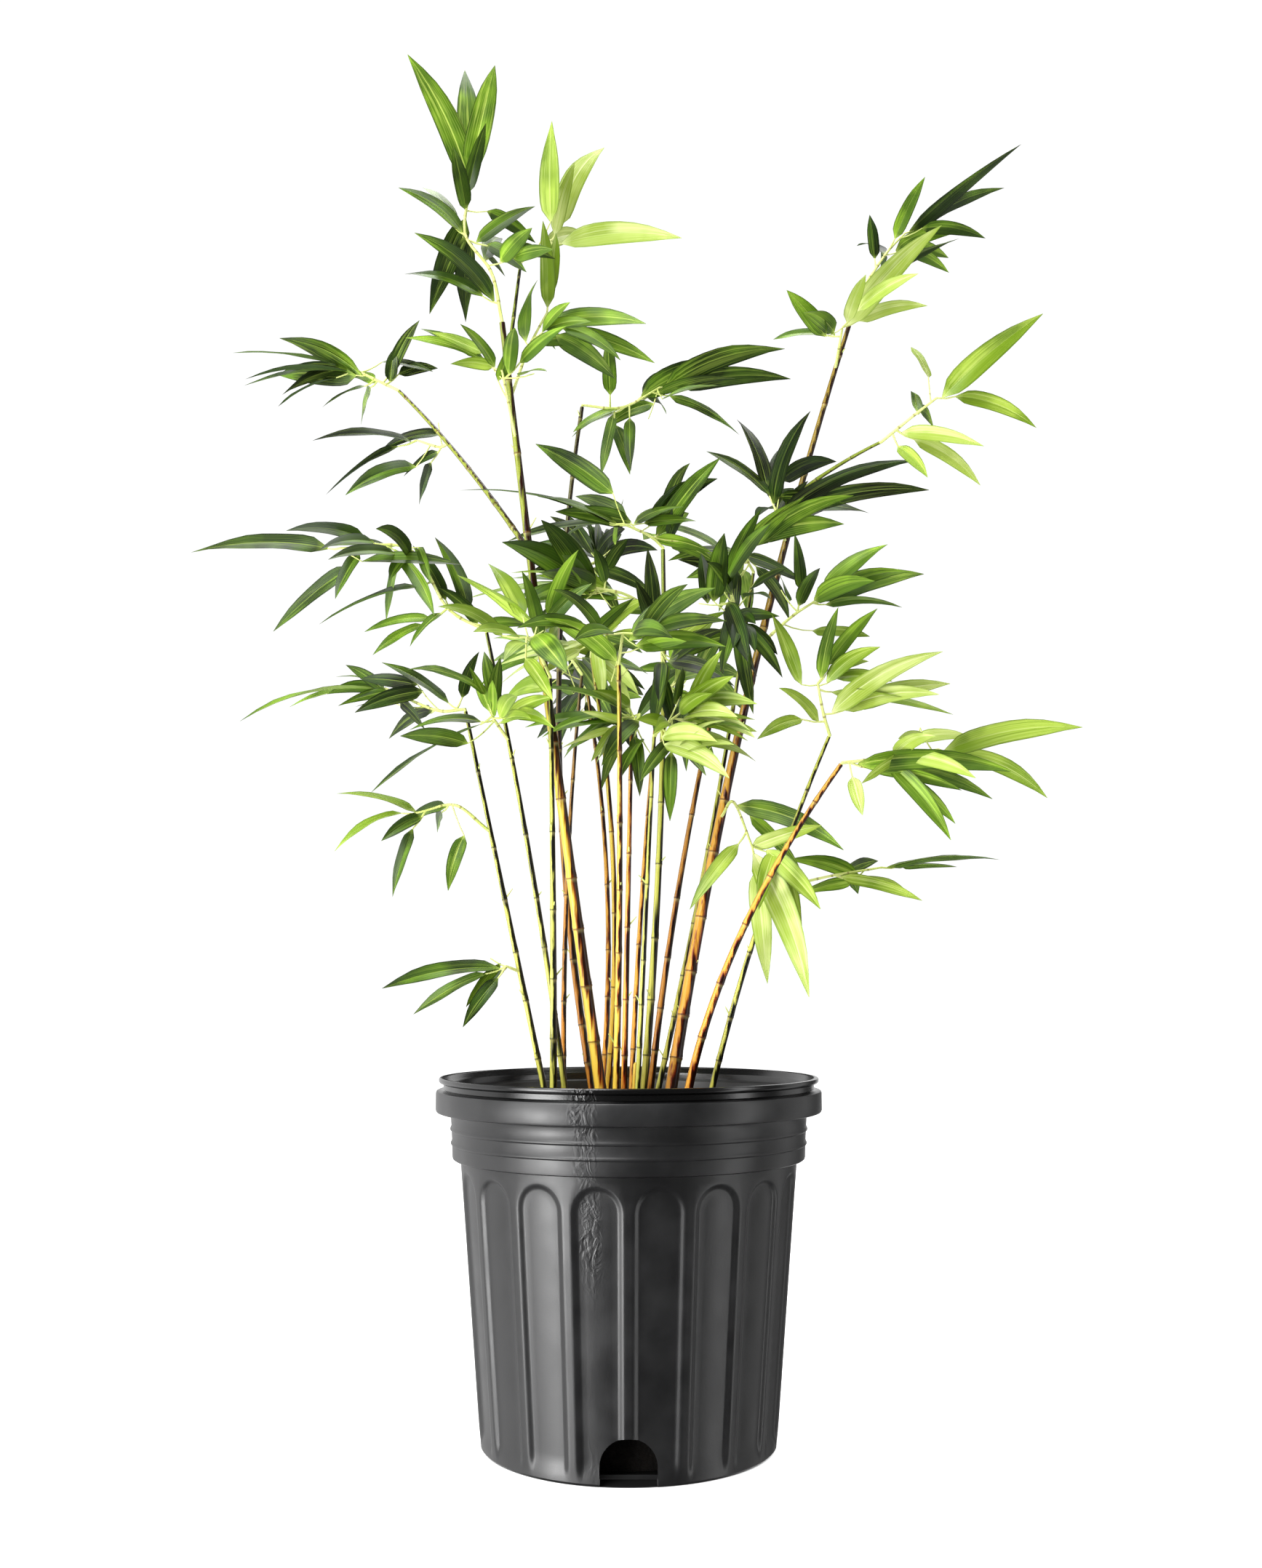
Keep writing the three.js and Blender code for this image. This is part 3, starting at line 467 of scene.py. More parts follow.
canes = {
    "cane_01": dict(foot=[-57, 6], tip=[-122, -8, 526], bow=0, thick=[2.4, 1.4], tone="green"),
    "cane_02": dict(foot=[-54, -24], tip=[-56, -66, 540], bow=1, thick=[2.8, 1.4], tone="green"),
    "cane_03": dict(foot=[-48, 22], tip=[-38, 75, 569], bow=-5, thick=[2.1, 1.3], tone="brown"),
    "cane_04": dict(foot=[-43, -14], tip=[-104, -40, 579], bow=4, thick=[2.3, 1.3], tone="green"),
    "cane_tall_back": dict(foot=[-24, 44], tip=[-39, 92, 799], bow=-24, thick=[2.9, 1.6], tone="brown"),
    "cane_tall_left": dict(foot=[-17, -6], tip=[-94, -52, 811], bow=-2, thick=[4.5, 2.1], tone="yellow"),
    "cane_05": dict(foot=[-22, 60], tip=[-34, 100, 560], bow=11, thick=[2.3, 1.4], tone="orange"),
    "cane_06": dict(foot=[-18, 14], tip=[-28, -12, 566], bow=12, thick=[2.4, 1.4], tone="yellow"),
    "cane_07": dict(foot=[-10, -30], tip=[-7, -90, 545], bow=2, thick=[2.6, 1.5], tone="yellow"),
    "cane_08": dict(foot=[-4, -8], tip=[2, -34, 505], bow=0, thick=[2.4, 1.4], tone="orange"),
    "cane_stub": dict(foot=[3, -17], tip=[5, -18, 266], bow=0, thick=[2.2, 2], tone="yellow"),
    "cane_09": dict(foot=[1, 34], tip=[22, 84, 540], bow=-2, thick=[2.2, 1.3], tone="orange"),
    "cane_10": dict(foot=[5, -31], tip=[18, -66, 498], bow=0, thick=[2, 1.3], tone="green"),
    "cane_centre": dict(foot=[9, 8], tip=[26, 2, 653], bow=6, thick=[3, 1.6], tone="green"),
    "cane_11": dict(foot=[13, -13], tip=[74, -40, 577], bow=-6, thick=[2.6, 1.4], tone="brown"),
    "cane_12": dict(foot=[17, 32], tip=[98, 44, 645], bow=5, thick=[2.3, 1.3], tone="green"),
    "cane_tall_right": dict(foot=[27, -4], tip=[192, 88, 895], bow=-14, thick=[4.6, 1.7], tone="orange"),
    "cane_13": dict(foot=[38, -24], tip=[150, -68, 478], bow=-18, thick=[3.2, 1.6], tone="orange"),
    "cane_14": dict(foot=[56, 14], tip=[146, -34, 503], bow=-7, thick=[2.4, 1.3], tone="green"),
}

boughs = {
    "bough_left": dict(
        on="cane_tall_left", at=641, tip=[-186, 58, 800], bow=6, thick=[2.2, 1.3], tone="yellow"),
    "bough_right": dict(
        on="cane_tall_right", at=718, tip=[193, 0, 737], bow=2, thick=[1.7, 1.2], tone="green"),
    "leader_right": dict(
        on="cane_tall_left", at=778, tip=[-83, -20, 872], bow=0, thick=[1.6, 1.1], tone="green"),
}

# Masses of leaves: what carries each, the height on it (none means its tip), the points its stem bends
# through, and its fans: share along the stem, headings of first and last leaf, count, lengths of first
# and last, lean away from the front, turn of the blade. "fine" is the number of finer twigs grown in it,
# and "shades" deals out its leaf tones, from 0 for the darkest to 4.
masses = {
    "leaves_top_left": dict(
        on="cane_tall_left", tone="mid", fine=3, shades=[2, 1, 1, 2],
        path=[[-102, -56, 848], [-122, -54, 879], [-119, -56, 913]],
        fans=[[0.12, 135, 155, 2, 79, 71, 6, 20], [0.62, 28, -40, 3, 54, 39, -6, 25],
              [0.66, 140, 122, 2, 65, 60, 18, 20], [1, 112, 79, 3, 109, 98, 0, 12],
              [0.45, 75, 60, 2, 72, 64, 62, 30], [0.8, 100, 60, 2, 64, 58, -60, 20]]),
    "leaves_top_centre": dict(
        on="leader_right", tone="bright", fine=1, path=[[-72, -2, 892], [-60, 8, 905]],
        fans=[[1, 77, 65, 2, 60, 97, 5, 15], [0.85, 2, 2, 1, 95, 95, -5, 5],
              [0.7, 40, 90, 2, 70, 62, 60, 30]]),
    "leaves_top_centre_low": dict(
        on="cane_tall_left", at=755, tone="mid", fine=3, path=[[-76, -22, 804], [-63, -10, 837]],
        fans=[[1, 92, 84, 2, 70, 50, 0, 25], [0.92, -12, -30, 3, 74, 58, -6, 20],
              [0.6, 20, 60, 2, 62, 54, 60, 20]]),
    "leaves_bough_left": dict(
        on="bough_left", tone="dark", fine=3, path=[[-209, 66, 814], [-229, 74, 827]],
        fans=[[1, 172, 182, 2, 90, 76, 0, 70], [0.9, 196, 206, 2, 88, 52, -10, 60],
              [0.45, 203, 203, 1, 38, 38, 10, 55], [0.3, 61, 61, 1, 52, 52, -8, 15],
              [0.24, 84, 23, 2, 30, 34, 12, 15], [0.4, 150, 210, 2, 62, 60, 60, 20]]),
    "leaves_upper_left": dict(
        on="cane_tall_left", at=723, tone="mid", fine=3, path=[[-92, -72, 766]],
        fans=[[1, 131, 163, 3, 40, 60, -4, 35], [0.85, 60, 20, 2, 60, 52, -60, 10]]),
    "leaves_bough_left_low": dict(
        on="bough_left", at=737, tone="dark", fine=2, path=[[-151, 40, 747], [-169, 44, 754]],
        fans=[[1, 177, 205, 2, 78, 76, 0, 52], [0.4, 207, 240, 2, 36, 42, 30, 30]]),
    "leaves_centre_top": dict(
        on="cane_tall_back", tone="mid", fine=4, path=[[-6, 92, 799], [25, 92, 816]],
        fans=[[1, 20, 8, 2, 108, 104, -4, 42], [0.9, 12, -18, 2, 66, 69, 6, 62],
              [0.55, 204, 204, 1, 42, 42, 10, 45], [0.6, 271, 271, 1, 46, 46, -10, 12],
              [0.35, 90, 90, 1, 62, 62, -68, 0], [0.4, 250, 300, 2, 60, 64, 52, 20],
              [0.75, 60, 40, 2, 70, 66, 56, 20]]),
    "leaves_left_mid": dict(
        on="cane_04", tone="mid", fine=4, shades=[1, 1, 2, 1],
        path=[[-132, -48, 596], [-160, -54, 638], [-208, -60, 637]],
        fans=[[0.04, 139, 118, 2, 42, 67, -5, 15], [0.14, -4, -4, 1, 44, 44, -12, 50],
              [0.3, 117, 117, 1, 48, 48, 0, 15], [0.33, 228, 192, 3, 36, 52, 0, 40],
              [0.48, 199, 199, 1, 77, 77, -8, 60], [0.64, 239, 149, 2, 26, 32, 0, 10],
              [0.74, 181, 181, 1, 44, 44, 8, 50], [0.9, 250, 220, 2, 42, 77, 0, 12],
              [1, 176, 176, 1, 98, 98, 0, 35], [0.6, 150, 200, 2, 66, 60, -58, 15]]),
    "leaves_left_low": dict(
        on="cane_01", tone="dark", fine=3, path=[[-146, 2, 529], [-185, 10, 547]],
        fans=[[1, 192, 186, 2, 109, 64, 0, 74], [0.9, 159, 159, 1, 42, 42, 6, 72],
              [0.95, -46, -46, 1, 32, 32, -20, 40], [0.1, 147, 147, 1, 59, 59, 0, 45],
              [0.16, 68, 68, 1, 38, 38, -10, 35], [0.5, 200, 160, 2, 66, 62, 60, 25]]),
    "leaves_left_inner": dict(
        on="cane_04", at=500, tone="mid", fine=4, path=[[-99, -46, 516]],
        fans=[[1, 211, 211, 1, 93, 93, 4, 76], [0.9, 85, 97, 2, 44, 36, -8, 8],
              [0.8, 183, 183, 1, 52, 52, 6, 50], [0.9, 30, -20, 2, 58, 50, -58, 15]]),
    "leaves_left_lower": dict(
        on="cane_01", at=436, tone="mid", fine=1, path=[[-128, -14, 455], [-152, -16, 450]],
        fans=[[1, 162, 203, 2, 63, 58, 0, 60], [0.95, 213, 251, 2, 36, 52, -5, 18],
              [0.6, 190, 232, 2, 52, 50, 60, 20]]),
    "leaves_lowest_left": dict(
        on="cane_01", at=333, tone="dark", fine=1, path=[[-90, -8, 337]],
        fans=[[1, 193, 208, 2, 90, 62, 0, 52], [1, 235, 235, 1, 44, 44, -6, 8],
              [0.9, 215, 215, 1, 54, 54, 58, 20]]),
    "leaves_centre_crown": dict(
        on="cane_centre", tone="mid", fine=7, shades=[0, 1, 2, 0, 1, 1],
        path=[[16, -4, 662], [-4, -12, 669]],
        fans=[[1, 169, 169, 1, 122, 122, -8, 66], [1, 160, 184, 2, 64, 74, 2, 55],
              [0.36, 52, 68, 2, 82, 70, 4, 22], [0.5, -9, -15, 2, 44, 44, 14, 35],
              [0.3, 60, 120, 2, 70, 66, 60, 25]]),
    "leaves_centre_left": dict(
        on="cane_centre", at=596, tone="mid", fine=6, shades=[1, 2, 0, 2, 3],
        path=[[0, -18, 612], [-26, -24, 617]],
        fans=[[1, 173, 184, 2, 66, 85, -4, 58], [0.45, 168, 168, 1, 88, 88, 6, 55],
              [0.9, 200, 200, 1, 48, 48, 2, 50], [0.85, 110, 60, 2, 30, 28, -10, 20],
              [1, 140, 215, 2, 60, 56, -58, 10]]),
    "leaves_right_high": dict(
        on="cane_tall_right", at=674, tone="dark", fine=4, shades=[0, 0, 1, 0], path=[[115, 28, 692]],
        fans=[[1, 72, 141, 3, 86, 64, 4, 28], [0.9, 21, 14, 2, 107, 105, -8, 62],
              [0.8, 50, 50, 1, 32, 32, 12, 40], [0.9, 60, 130, 2, 66, 62, 60, 20]]),
    "leaves_centre_right": dict(
        on="cane_12", tone="dark", fine=6, path=[[88, 30, 660]],
        fans=[[1, 25, 25, 1, 96, 96, 0, 45], [1, -112, -96, 2, 64, 54, -30, 8],
              [1, -32, -58, 2, 52, 48, -6, 40], [1, 190, 150, 2, 52, 60, 5, 45],
              [0.8, 240, 300, 2, 60, 62, 60, 15]]),
    "leaves_right_hanging": dict(
        on="cane_11", tone="dark", fine=8, shades=[0, 0, 1], path=[[77, -42, 602]],
        fans=[[1, -106, -56, 3, 62, 54, -6, 15], [0.9, -70, -40, 2, 50, 36, 14, 45],
              [1, 150, 60, 2, 58, 60, -50, 15]]),
    "leaves_centre_front": dict(
        on="cane_centre", at=548, tone="mid", fine=4, shades=[0, 1, 3, 1, 0], path=[[24, -32, 568]],
        fans=[[1, 118, 98, 2, 60, 60, -36, 5], [1, 33, 5, 2, 50, 44, 6, 22],
              [0.85, -98, -78, 2, 44, 50, -24, 15]]),
    "leaves_centre_left_low": dict(
        on="cane_06", tone="bright", fine=4, shades=[3, 1, 4, 2, 3], path=[[-27, -24, 578]],
        fans=[[1, -85, -47, 3, 46, 44, -10, 10], [1, 201, 190, 3, 70, 46, 0, 52],
              [0.85, 212, 212, 1, 34, 34, -8, 10], [0.85, 40, 40, 1, 46, 46, -10, 5]]),
    "leaves_centre_low_left": dict(
        on="cane_08", tone="bright", fine=8, shades=[3, 2, 4, 1, 3], path=[[8, -38, 519]],
        fans=[[1, 176, 190, 3, 86, 58, -4, 55], [1, 239, 276, 2, 68, 48, -34, 4]]),
    "leaves_centre_low_right": dict(
        on="cane_10", tone="bright", fine=8, shades=[3, 4, 2, 1, 3], path=[[32, -64, 512]],
        fans=[[1, 2, -14, 3, 50, 40, 8, 62], [0.9, -57, -125, 3, 48, 48, -8, 8],
              [1, 20, 60, 2, 52, 50, -50, 10]]),
    "leaves_right_fan": dict(
        on="cane_14", tone="bright", fine=3, shades=[3, 3, 4, 2], path=[[141, -42, 520], [137, -46, 540]],
        fans=[[0.45, 26, 9, 3, 88, 72, -6, 18], [1, 74, 48, 2, 52, 58, -8, 4],
              [0.9, -6, -6, 1, 92, 92, 4, 70], [0.3, 150, 200, 2, 50, 46, -30, 20]]),
    "leaves_right_upper": dict(
        on="cane_tall_right", at=588, tone="mid", fine=3, path=[[125, 10, 603], [140, 4, 612]],
        fans=[[1, 21, 17, 2, 70, 83, 0, 30], [1, -2, -2, 1, 58, 58, 6, 64],
              [0.6, 60, 100, 2, 52, 50, -56, 10]]),
    "leaves_top_right": dict(
        on="cane_tall_right", tone="dark", fine=2, path=[[216, 92, 933], [233, 96, 953]],
        fans=[[1, 36, 31, 2, 113, 89, 0, 74], [0.3, 91, 91, 1, 44, 44, 0, 12],
              [0.12, 25, 25, 1, 76, 76, -8, 76], [0.5, 120, 60, 2, 62, 58, 62, 20],
              [0.55, 60, 60, 1, 60, 60, -60, 10]]),
    "leaves_upper_right": dict(
        on="cane_tall_right", at=826, tone="bright", fine=1, path=[[174, 60, 855]],
        fans=[[1, 43, 17, 2, 108, 63, 0, 32], [0.75, 143, 184, 2, 46, 40, 0, 32],
              [1, 70, 20, 2, 62, 62, -58, 10]]),
    "leaves_bough_right": dict(
        on="bough_right", tone="bright", fine=1, path=[[216, -8, 754], [235, -12, 768]],
        fans=[[0.24, -11, -30, 2, 62, 62, 0, 14], [0.18, -65, -65, 1, 46, 46, -10, 18],
              [1, 40, -16, 2, 100, 66, 0, 5], [0.6, 80, 20, 2, 58, 56, 58, 20]]),
    "leaves_right_low": dict(
        on="cane_13", tone="bright", fine=4, shades=[3, 2, 4, 3, 3],
        path=[[172, -64, 482], [194, -58, 486], [222, -52, 491]],
        fans=[[1, 9, -25, 2, 97, 72, 0, 28], [0.5, -57, -41, 2, 71, 58, 4, 20],
              [0.08, -5, -14, 3, 103, 72, 0, 45], [0.08, -76, -76, 1, 30, 30, 0, 10],
              [0.5, 30, -30, 2, 60, 60, -58, 10]]),
    "leaves_lowest_right": dict(
        on="cane_14", at=392, tone="mid", fine=1, path=[[150, 10, 404], [190, 16, 411]],
        fans=[[1, 7, 3, 2, 83, 44, 0, 70], [0.55, -14, -6, 2, 61, 44, 0, 48],
              [0.6, 20, -30, 2, 52, 50, 60, 20]]),
    "leaves_low_right": dict(
        on="cane_tall_right", at=450, tone="bright", fine=2, shades=[2, 4, 1, 3],
        path=[[78, -6, 458], [90, -26, 423]],
        fans=[[0.45, -22, -50, 2, 85, 56, -6, 32], [1, -70, -86, 2, 117, 80, 0, 2],
              [0.85, -123, -123, 1, 62, 62, -4, 5]]),
    "leaves_back_left": dict(
        on="cane_03", tone="mid", fine=6, path=[[-50, 96, 590], [-62, 120, 600]],
        fans=[[1, 200, 150, 3, 80, 70, 40, 30], [1, 120, 60, 2, 80, 70, 68, 30],
              [0.5, -60, 30, 3, 66, 60, 30, 30]]),
    "leaves_back_low": dict(
        on="cane_05", tone="dark", fine=5, path=[[-36, 124, 574], [-30, 150, 576]],
        fans=[[1, 220, 140, 3, 76, 70, 52, 25], [1, 60, -40, 3, 76, 68, 52, 25],
              [0.4, 250, 290, 2, 52, 50, 12, 30]]),
    "leaves_back_right": dict(
        on="cane_09", tone="mid", fine=6, path=[[34, 108, 566], [52, 130, 580]],
        fans=[[1, 60, -20, 3, 84, 72, 50, 25], [1, 160, 110, 2, 72, 68, 60, 25],
              [0.5, -30, -80, 3, 62, 60, 20, 25]]),
    "leaves_back_upper": dict(
        on="cane_tall_back", at=653, tone="dark", fine=5, path=[[-33, 110, 670], [-21, 134, 678]],
        fans=[[1, 150, 30, 4, 84, 78, 48, 25], [0.5, -20, -60, 2, 62, 60, 40, 25]]),
    "leaves_front_left": dict(
        on="cane_02", tone="bright", fine=3, path=[[-64, -92, 556], [-70, -112, 560]],
        fans=[[1, 200, 160, 2, 64, 60, -55, 20], [1, 240, 300, 2, 60, 58, -55, 10],
              [0.5, 100, 40, 3, 60, 52, -30, 20]]),
    "leaves_front_mid": dict(
        on="cane_07", tone="mid", fine=3, shades=[0, 1, 0, 2], path=[[-4, -116, 562]],
        fans=[[1, 210, 150, 3, 62, 60, -50, 20], [1, -30, 40, 3, 62, 60, -50, 20]]),
}

rule = dict(
    seed=4127, massSeedStep=977, stemRadius=1.6, twigRadius=1.3, twigReach=[5, 6], rootShares=[0.3, 1],
    leafWide=0.18, leafWideLimits=[10, 20], leafRootHalf=0.6, widestAt=0.35, archLimits=[0.03, 0.09],
    headingStray=4, leanStray=3, leanStep=12, twigLean=20, twigLeanShare=0.7, turnStray=6, lengthStray=0.06,
    dodges=[0, -14, 14, -28, 28, 42, -42], beadStep=4, beadLeast=2, clearance=0.7, levelLimit=0.3,
    stemSlack=1.2, beadRoom=60000,
)

# Finer growth: small side twigs with a pair or three of smaller leaves, kept inside each mass
finer = dict(
    seed=2909, seedStep=613, tries=9, most=2.5, longLimits=[42, 92], sideways=0.66, upright=0.2,
    sideStray=26, upStray=42, hangStray=38, leanLimit=58, turnLimit=62, reach=[9, 30], twigStray=70,
    splay=[14, 38], ownGap=2.2, ownFree=0.25, boxSlack=3.0, clearance=0.4, wide=0.235, leastHalf=4.5,
    down=0.7, downPower=1.5, twigLean=6, twigLeanShare=0.6, twigRadius=0.8, leanStep=20, leanStray=6,
    shorter=0.25, turnStray=14, archLimits=[0.02, 0.09], rootShares=[0.5, 1],
)

upward = np.array([0.0, 0.0, 1.0])
toFront = np.array([0.0, -1.0, 0.0])


def directionAt(pointAt, share, step=0.01):
    return unit(pointAt(min(share + step, 1)) - pointAt(max(share - step, 0)))


def caneCurve(cane):
    foot = np.array([*cane["foot"], soilTop + seatGap], float)
    tip = np.array(cane["tip"], float)

    def pointAt(share):
        place = mix(foot, tip, share)
        place[0] += cane["bow"] * 4 * share * (1 - share)
        return place
    return pointAt


def seatOn(limb, height, towards, radius):
    foot, tip = limb["pointAt"](0), limb["pointAt"](1)
    share = 1 if height is None else (height - foot[2]) / (tip[2] - foot[2])
    place = limb["pointAt"](share)
    along = directionAt(limb["pointAt"], share)
    heading = unit(towards - place)
    cosine = abs(heading @ along)
    sine = math.sqrt(1 - cosine * cosine)
    if height is None:
        return place + along * (seatGap + radius * sine), place
    limbRadius = mix(limb["thick"][0], limb["thick"][1], share)
    return place + heading * ((limbRadius + seatGap / 2 + radius * cosine) / sine), place


def boughCurve(bough, limbs):
    tip = np.array(bough["tip"], float)
    foot, axis = seatOn(limbs[bough["on"]], bough["at"], tip, bough["thick"][0])
    return lambda share: mix(foot, tip, share) + upward * (bough["bow"] * 4 * share * (1 - share)), axis


def curveThrough(points):
    # a smooth curve through all points, each stretch led by its neighbours
    stretches = len(points) - 1

    def pointAt(share):
        i = min(int(share * stretches), stretches - 1)
        t = share * stretches - i
        b, c = points[i], points[i + 1]
        a = points[i - 1] if i > 0 else 2 * b - c
        d = points[i + 2] if i < stretches - 1 else 2 * c - b
        return (a * (-0.5 * t ** 3 + t ** 2 - 0.5 * t) + b * (1.5 * t ** 3 - 2.5 * t ** 2 + 1)
                + c * (-1.5 * t ** 3 + 2 * t ** 2 + 0.5 * t) + d * (0.5 * t ** 3 - 0.5 * t ** 2))
    return pointAt


def drawsFrom(seed):
    # the plain seeded row of numbers, from 0 to 1, that the frame's solids were drawn with
    state = [seed]

    def draw():
        state[0] = (state[0] * 1664525 + 1013904223) % 2 ** 32
        return state[0] / 2 ** 32
    return draw


def stray(draw, most):
    return (draw() * 2 - 1) * most


def headingOf(degrees, lean):
    turn, tilt = math.radians(degrees), math.radians(lean)
    return np.array([math.cos(turn) * math.cos(tilt), math.sin(tilt), math.sin(turn) * math.cos(tilt)])


class Room:
    # every limb, stem and leaf as a string of beads, so that the next keeps clear
    def __init__(self):
        self.places = np.zeros((rule["beadRoom"], 3))
        self.radii, self.free = np.zeros((2, rule["beadRoom"]))
        self.owners = np.zeros(rule["beadRoom"], int)
        self.count = 0

    def add(self, places, radii, owner):
        end = self.count + len(places)
        self.places[self.count:end] = places
        self.radii[self.count:end] = radii
        self.owners[self.count:end] = owner
        self.free[self.count:end] = np.linspace(0, 1, len(places))
        self.count = end

    def isClear(self, places, radii, owner, clearance):
        others = self.owners[:self.count] != owner
        spots, sizes = self.places[:self.count][others], self.radii[:self.count][others]
        apart = ((places[:, None, :] - spots[None, :, :]) ** 2).sum(2)
        least = radii[:, None] + sizes[None, :] + clearance
        return bool((apart > least * least).all())

    def isApart(self, places, owner, gap, fromShare):
        # within a mass, blades only have to miss each other past their roots
        own = (self.owners[:self.count] == owner) & (self.free[:self.count] >= fromShare)
        spots = self.places[:self.count][own]
        far = places[int(len(places) * fromShare):]
        apart = ((far[:, None, :] - spots[None, :, :]) ** 2).sum(2)
        return bool((apart > gap * gap).all())


def beadsOf(pointAt, radiusAt, length):
    count = math.ceil(length / rule["beadStep"])
    shares = [i / count for i in range(count + 1)]
    radii = [max(radiusAt(share), rule["beadLeast"]) for share in shares]
    return np.array([pointAt(share) for share in shares]), np.array(radii)


def leafPlan(root, heading, long, turn, arch, wide, leastHalf):
    facing = unit(toFront - heading * (toFront @ heading))
    edge = np.cross(heading, facing)
    face = facing * math.cos(math.radians(turn)) + edge * math.sin(math.radians(turn))
    lift = upward - heading * heading[2]
    if np.linalg.norm(lift) < rule["levelLimit"]:
        lift = face
    lift = unit(lift)
    high = rule["leafWideLimits"][1]
    half = min(max(long * wide / 2, leastHalf), high / 2)

    def pointAt(share):
        return root + heading * (long * share) + lift * (long * arch * 4 * share * (1 - share))

    def halfAt(share):
        if share < rule["widestAt"]:
            return mix(rule["leafRootHalf"], half, share / rule["widestAt"])
        return mix(half, 0, (share - rule["widestAt"]) / (1 - rule["widestAt"]))
    return dict(root=root, heading=heading, face=face, lift=lift, long=long, half=half, arch=arch,
                beads=beadsOf(pointAt, halfAt, long))


def orderOf(i, count):
    if count == 1:
        return 1
    fromEdge = min(i, count - 1 - i)
    return (2 * fromEdge + (1 if i > count - 1 - i else 0)) / (count - 1)


def growFan(fan, stemAt, draw, room, owner):
    share, first, last, count, longFirst, longLast, lean, turn = fan
    reach = rule["twigReach"][0] + rule["twigReach"][1] * count
    foot = stemAt(share)
    tip = foot + headingOf((first + last) / 2, lean * rule["twigLeanShare"] + rule["twigLean"]) * reach
    twigBeads = beadsOf(lambda s: mix(foot, tip, s), lambda s: rule["twigRadius"], reach)
    if not room.isClear(*twigBeads, owner, rule["clearance"]):
        return None
    leaves = []
    for i in range(count):
        part = i / (count - 1) if count > 1 else 0.5
        order = orderOf(i, count)
        step = mix(-rule["leanStep"], rule["leanStep"], order) if count > 1 else 0
        degrees = mix(first, last, part) + stray(draw, rule["headingStray"])
        away = lean + step + stray(draw, rule["leanStray"])
        long = mix(longFirst, longLast, part) * (1 + stray(draw, rule["lengthStray"]))
        twist = turn + stray(draw, rule["turnStray"])
        arch = mix(*rule["archLimits"], draw())
        root = mix(foot, tip, mix(*rule["rootShares"], order))
        for dodge in rule["dodges"]:
            leaf = leafPlan(root, headingOf(degrees, away + dodge), long, twist, arch, rule["leafWide"],
                            rule["leafWideLimits"][0] / 2)
            if room.isClear(*leaf["beads"], owner, rule["clearance"]):
                leaves.append(leaf)
                break
    if not leaves:
        return None
    room.add(*twigBeads, owner)
    for leaf in leaves:
        room.add(*leaf["beads"], owner)
    return dict(foot=foot, tip=tip, leaves=leaves, fine=False)


def growFiner(stemAt, draw, room, owner, low, high):
    # a small twig off the stem with one to three leaves, mostly level, some upright and some hanging
    share = 1 - finer["down"] * draw() ** finer["downPower"]
    count = 1 + int(draw() * finer["most"])
    style = draw()
    if style < finer["sideways"]:
        middle = (0 if draw() < 0.5 else 180) + stray(draw, finer["sideStray"])
    elif style < finer["sideways"] + finer["upright"]:
        middle = 90 + stray(draw, finer["upStray"])
    else:
        middle = -90 + stray(draw, finer["hangStray"])
    lean = stray(draw, finer["leanLimit"])
    long = mix(*finer["longLimits"], draw())
    turn = stray(draw, finer["turnLimit"])
    foot = stemAt(share)
    reach = mix(*finer["reach"], draw())
    twigTurn = middle + stray(draw, finer["twigStray"])
    tip = foot + headingOf(twigTurn, lean * finer["twigLeanShare"] + finer["twigLean"]) * reach
    twigBeads = beadsOf(lambda s: mix(foot, tip, s), lambda s: finer["twigRadius"], reach)
    leaves = []
    side = 1 if draw() < 0.5 else -1
    for i in range(count):
        order = orderOf(i, count)
        splay = mix(*finer["splay"], draw()) * side * (i - (count - 1) / 2)
        away = lean + (order - 0.5) * finer["leanStep"] + stray(draw, finer["leanStray"])
        size = long * (1 - finer["shorter"] * draw())
        twist = turn + stray(draw, finer["turnStray"])
        arch = mix(*finer["archLimits"], draw())
        leaf = leafPlan(mix(foot, tip, mix(*finer["rootShares"], order)), headingOf(middle + splay, away),
                        size, twist, arch, finer["wide"], finer["leastHalf"])
        places = leaf["beads"][0]
        inside = (places >= low).all() and (places <= high).all()
        if inside and room.isClear(*leaf["beads"], owner, finer["clearance"]):
            if room.isApart(places, owner, finer["ownGap"], finer["ownFree"]):
                leaves.append(leaf)
                room.add(*leaf["beads"], owner)
    if not leaves or not room.isClear(*twigBeads, owner, finer["clearance"]):
        return None
    room.add(*twigBeads, owner)
    return dict(foot=foot, tip=tip, leaves=leaves, fine=True)


